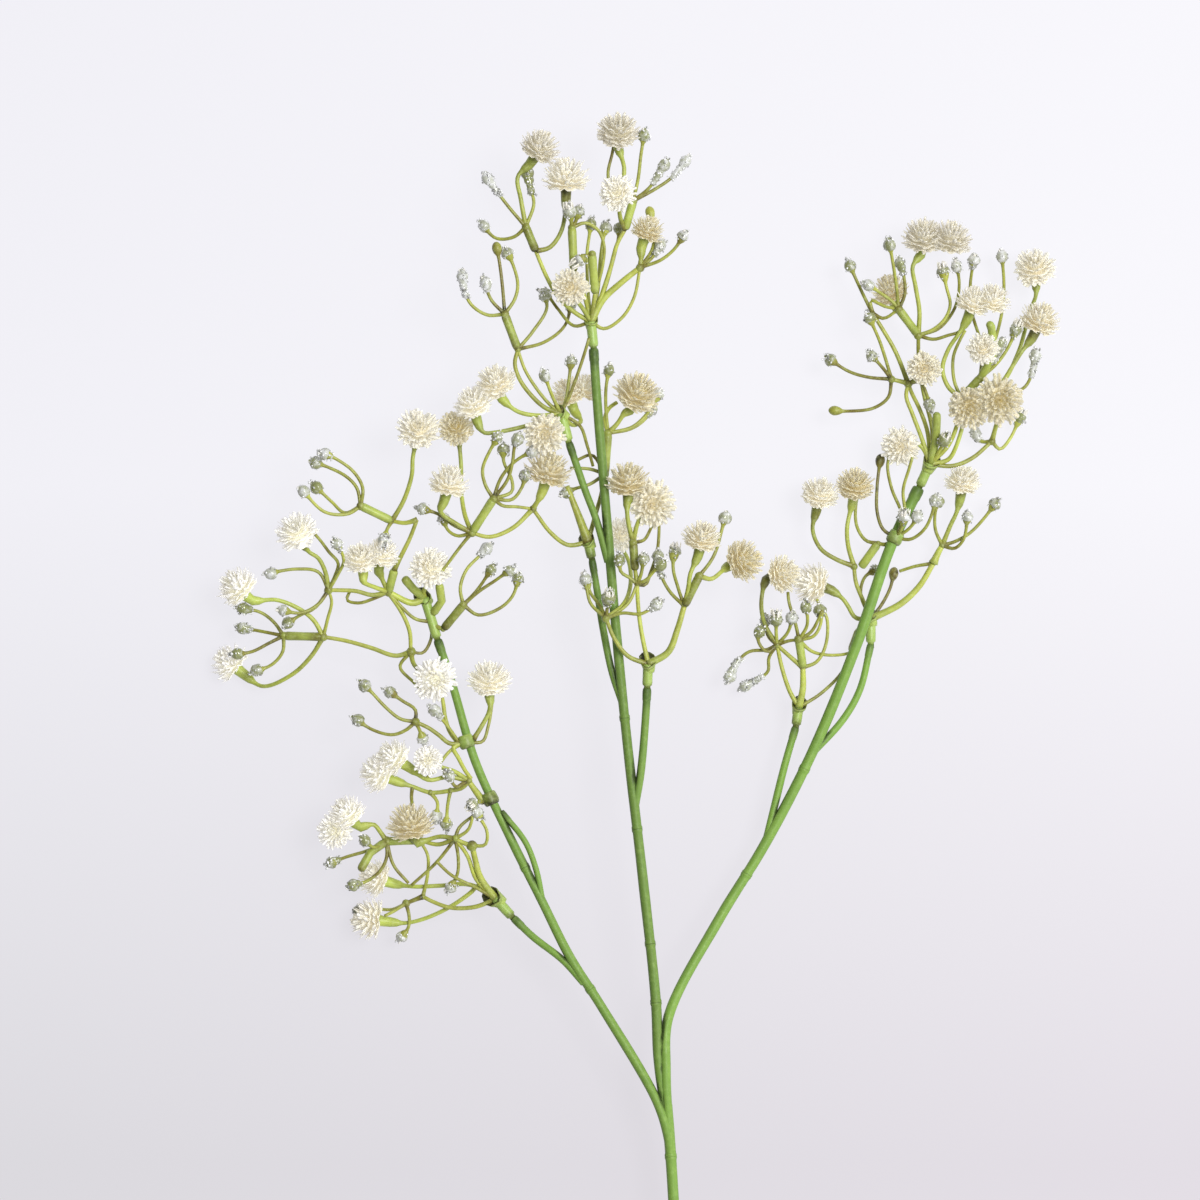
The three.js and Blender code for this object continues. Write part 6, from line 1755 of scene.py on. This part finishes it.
class GYPSOPHILA_OT_sprays(bpy.types.Operator):
    """Builds the spray mouldings with their rays, sleeves, cups and frosted buds"""

    bl_idname = "gypsophila.sprays"
    bl_label = "Build Sprays"

    def execute(self, context):
        settings = context.scene.gypsophila_sprays
        finishes = [
            spray_material(settings), frost_material(settings),
            film_material(context.scene.gypsophila_blooms)]
        for number, (node, plan) in enumerate(SPRIG_PLAN.items()):
            name = node.replace("sprig", "spray")
            clear(name)
            draw = random.Random(settings.seed * 100 + number)
            settle(build_spray(plan, settings, draw).piece(name, finishes), node)
        return {"FINISHED"}


class GYPSOPHILA_OT_blooms(bpy.types.Operator):
    """Builds the blooms, each head of six layers of crimped film with fine points between them"""

    bl_idname = "gypsophila.blooms"
    bl_label = "Build Blooms"

    def execute(self, context):
        settings = context.scene.gypsophila_blooms
        film = film_material(settings)
        for plan in SPRIG_PLAN.values():
            for node, heads in plan["blooms"].items():
                number = int(node.split("_")[1])
                name = f"bloom_head_{number:02d}"
                clear(name)
                draw = random.Random(settings.seed * 100 + number)
                shell = Shell()
                tone = next(tone for tone, numbers in BLOOM_TONES.items() if number in numbers)
                for head in heads:
                    bloom_head(shell, head, FILM_TONES[tone], settings, draw)
                settle(shell.piece(name, [film]), node)
        return {"FINISHED"}


class GYPSOPHILA_OT_stage(bpy.types.Operator):
    """Builds the paper ground, the soft light and the camera above"""

    bl_idname = "gypsophila.stage"
    bl_label = "Build Stage"

    def execute(self, context):
        settings = context.scene.gypsophila_stage
        scene = context.scene
        bpy.ops.mesh.primitive_plane_add(size=GROUND_SIZE, location=(0, 0, 0))
        ground = context.object
        ground.name = "paper_ground"
        ground.data.materials.append(ground_material(settings))
        lamp = bpy.data.objects.new("key_light", bpy.data.lights.new("key_light", "SUN"))
        lamp.data.energy = settings.key
        lamp.data.angle = settings.softness
        lamp.location = LAMP_PLACE
        lamp.rotation_euler = (Vector((0, 0, 0)) - lamp.location).to_track_quat("-Z", "Y").to_euler()
        scene.collection.objects.link(lamp)
        world = bpy.data.worlds.new("even_light")
        world.use_nodes = True
        tree = world.node_tree
        sky = tree.nodes["Background"]
        sky.inputs["Color"].default_value = tint(SKY_COLOUR)
        aim = put(tree, "ShaderNodeTexCoord").outputs["Generated"]
        parts = put(tree, "ShaderNodeSeparateXYZ", {"Vector": aim})
        across = put(tree, "ShaderNodeMapRange", {
            "Value": parts.outputs["X"], "From Min": -SKY_EDGE, "From Max": SKY_EDGE,
            "To Min": settings.sky * (1 - settings.lean), "To Max": settings.sky * (1 + settings.lean)})
        tree.links.new(across.outputs["Result"], sky.inputs["Strength"])
        scene.world = world
        camera = bpy.data.objects.new("camera", bpy.data.cameras.new("camera"))
        camera.data.sensor_width = SENSOR_WIDTH
        camera.data.lens = settings.lens
        camera.location = (CAMERA_X, CAMERA_Y, settings.camera_height)
        scene.collection.objects.link(camera)
        scene.camera = camera
        scene.view_settings.view_transform = "Standard"
        return {"FINISHED"}


class GYPSOPHILA_PT_panel(bpy.types.Panel):
    """Lists what can be built"""

    bl_idname = "GYPSOPHILA_PT_panel"
    bl_label = "Gypsophila Stem"
    bl_space_type = "VIEW_3D"
    bl_region_type = "UI"
    bl_category = "Gypsophila"

    def draw(self, context):
        for operator in OPERATORS:
            self.layout.operator(operator.bl_idname)


SETTINGS = {
    "gypsophila_stem": StemSettings,
    "gypsophila_sprays": SpraySettings,
    "gypsophila_blooms": BloomSettings,
    "gypsophila_stage": StageSettings,
}
OPERATORS = [GYPSOPHILA_OT_stem, GYPSOPHILA_OT_sprays, GYPSOPHILA_OT_blooms, GYPSOPHILA_OT_stage]


def register():
    for name, group in SETTINGS.items():
        bpy.utils.register_class(group)
        setattr(bpy.types.Scene, name, bpy.props.PointerProperty(type=group))
    for operator in OPERATORS:
        bpy.utils.register_class(operator)
    bpy.utils.register_class(GYPSOPHILA_PT_panel)


def unregister():
    bpy.utils.unregister_class(GYPSOPHILA_PT_panel)
    for operator in reversed(OPERATORS):
        bpy.utils.unregister_class(operator)
    for name, group in reversed(SETTINGS.items()):
        delattr(bpy.types.Scene, name)
        bpy.utils.unregister_class(group)


def main():
    register()
    bpy.ops.gypsophila.stem()
    bpy.ops.gypsophila.sprays()
    bpy.ops.gypsophila.blooms()
    bpy.ops.gypsophila.stage()


if __name__ == "__main__":
    main()
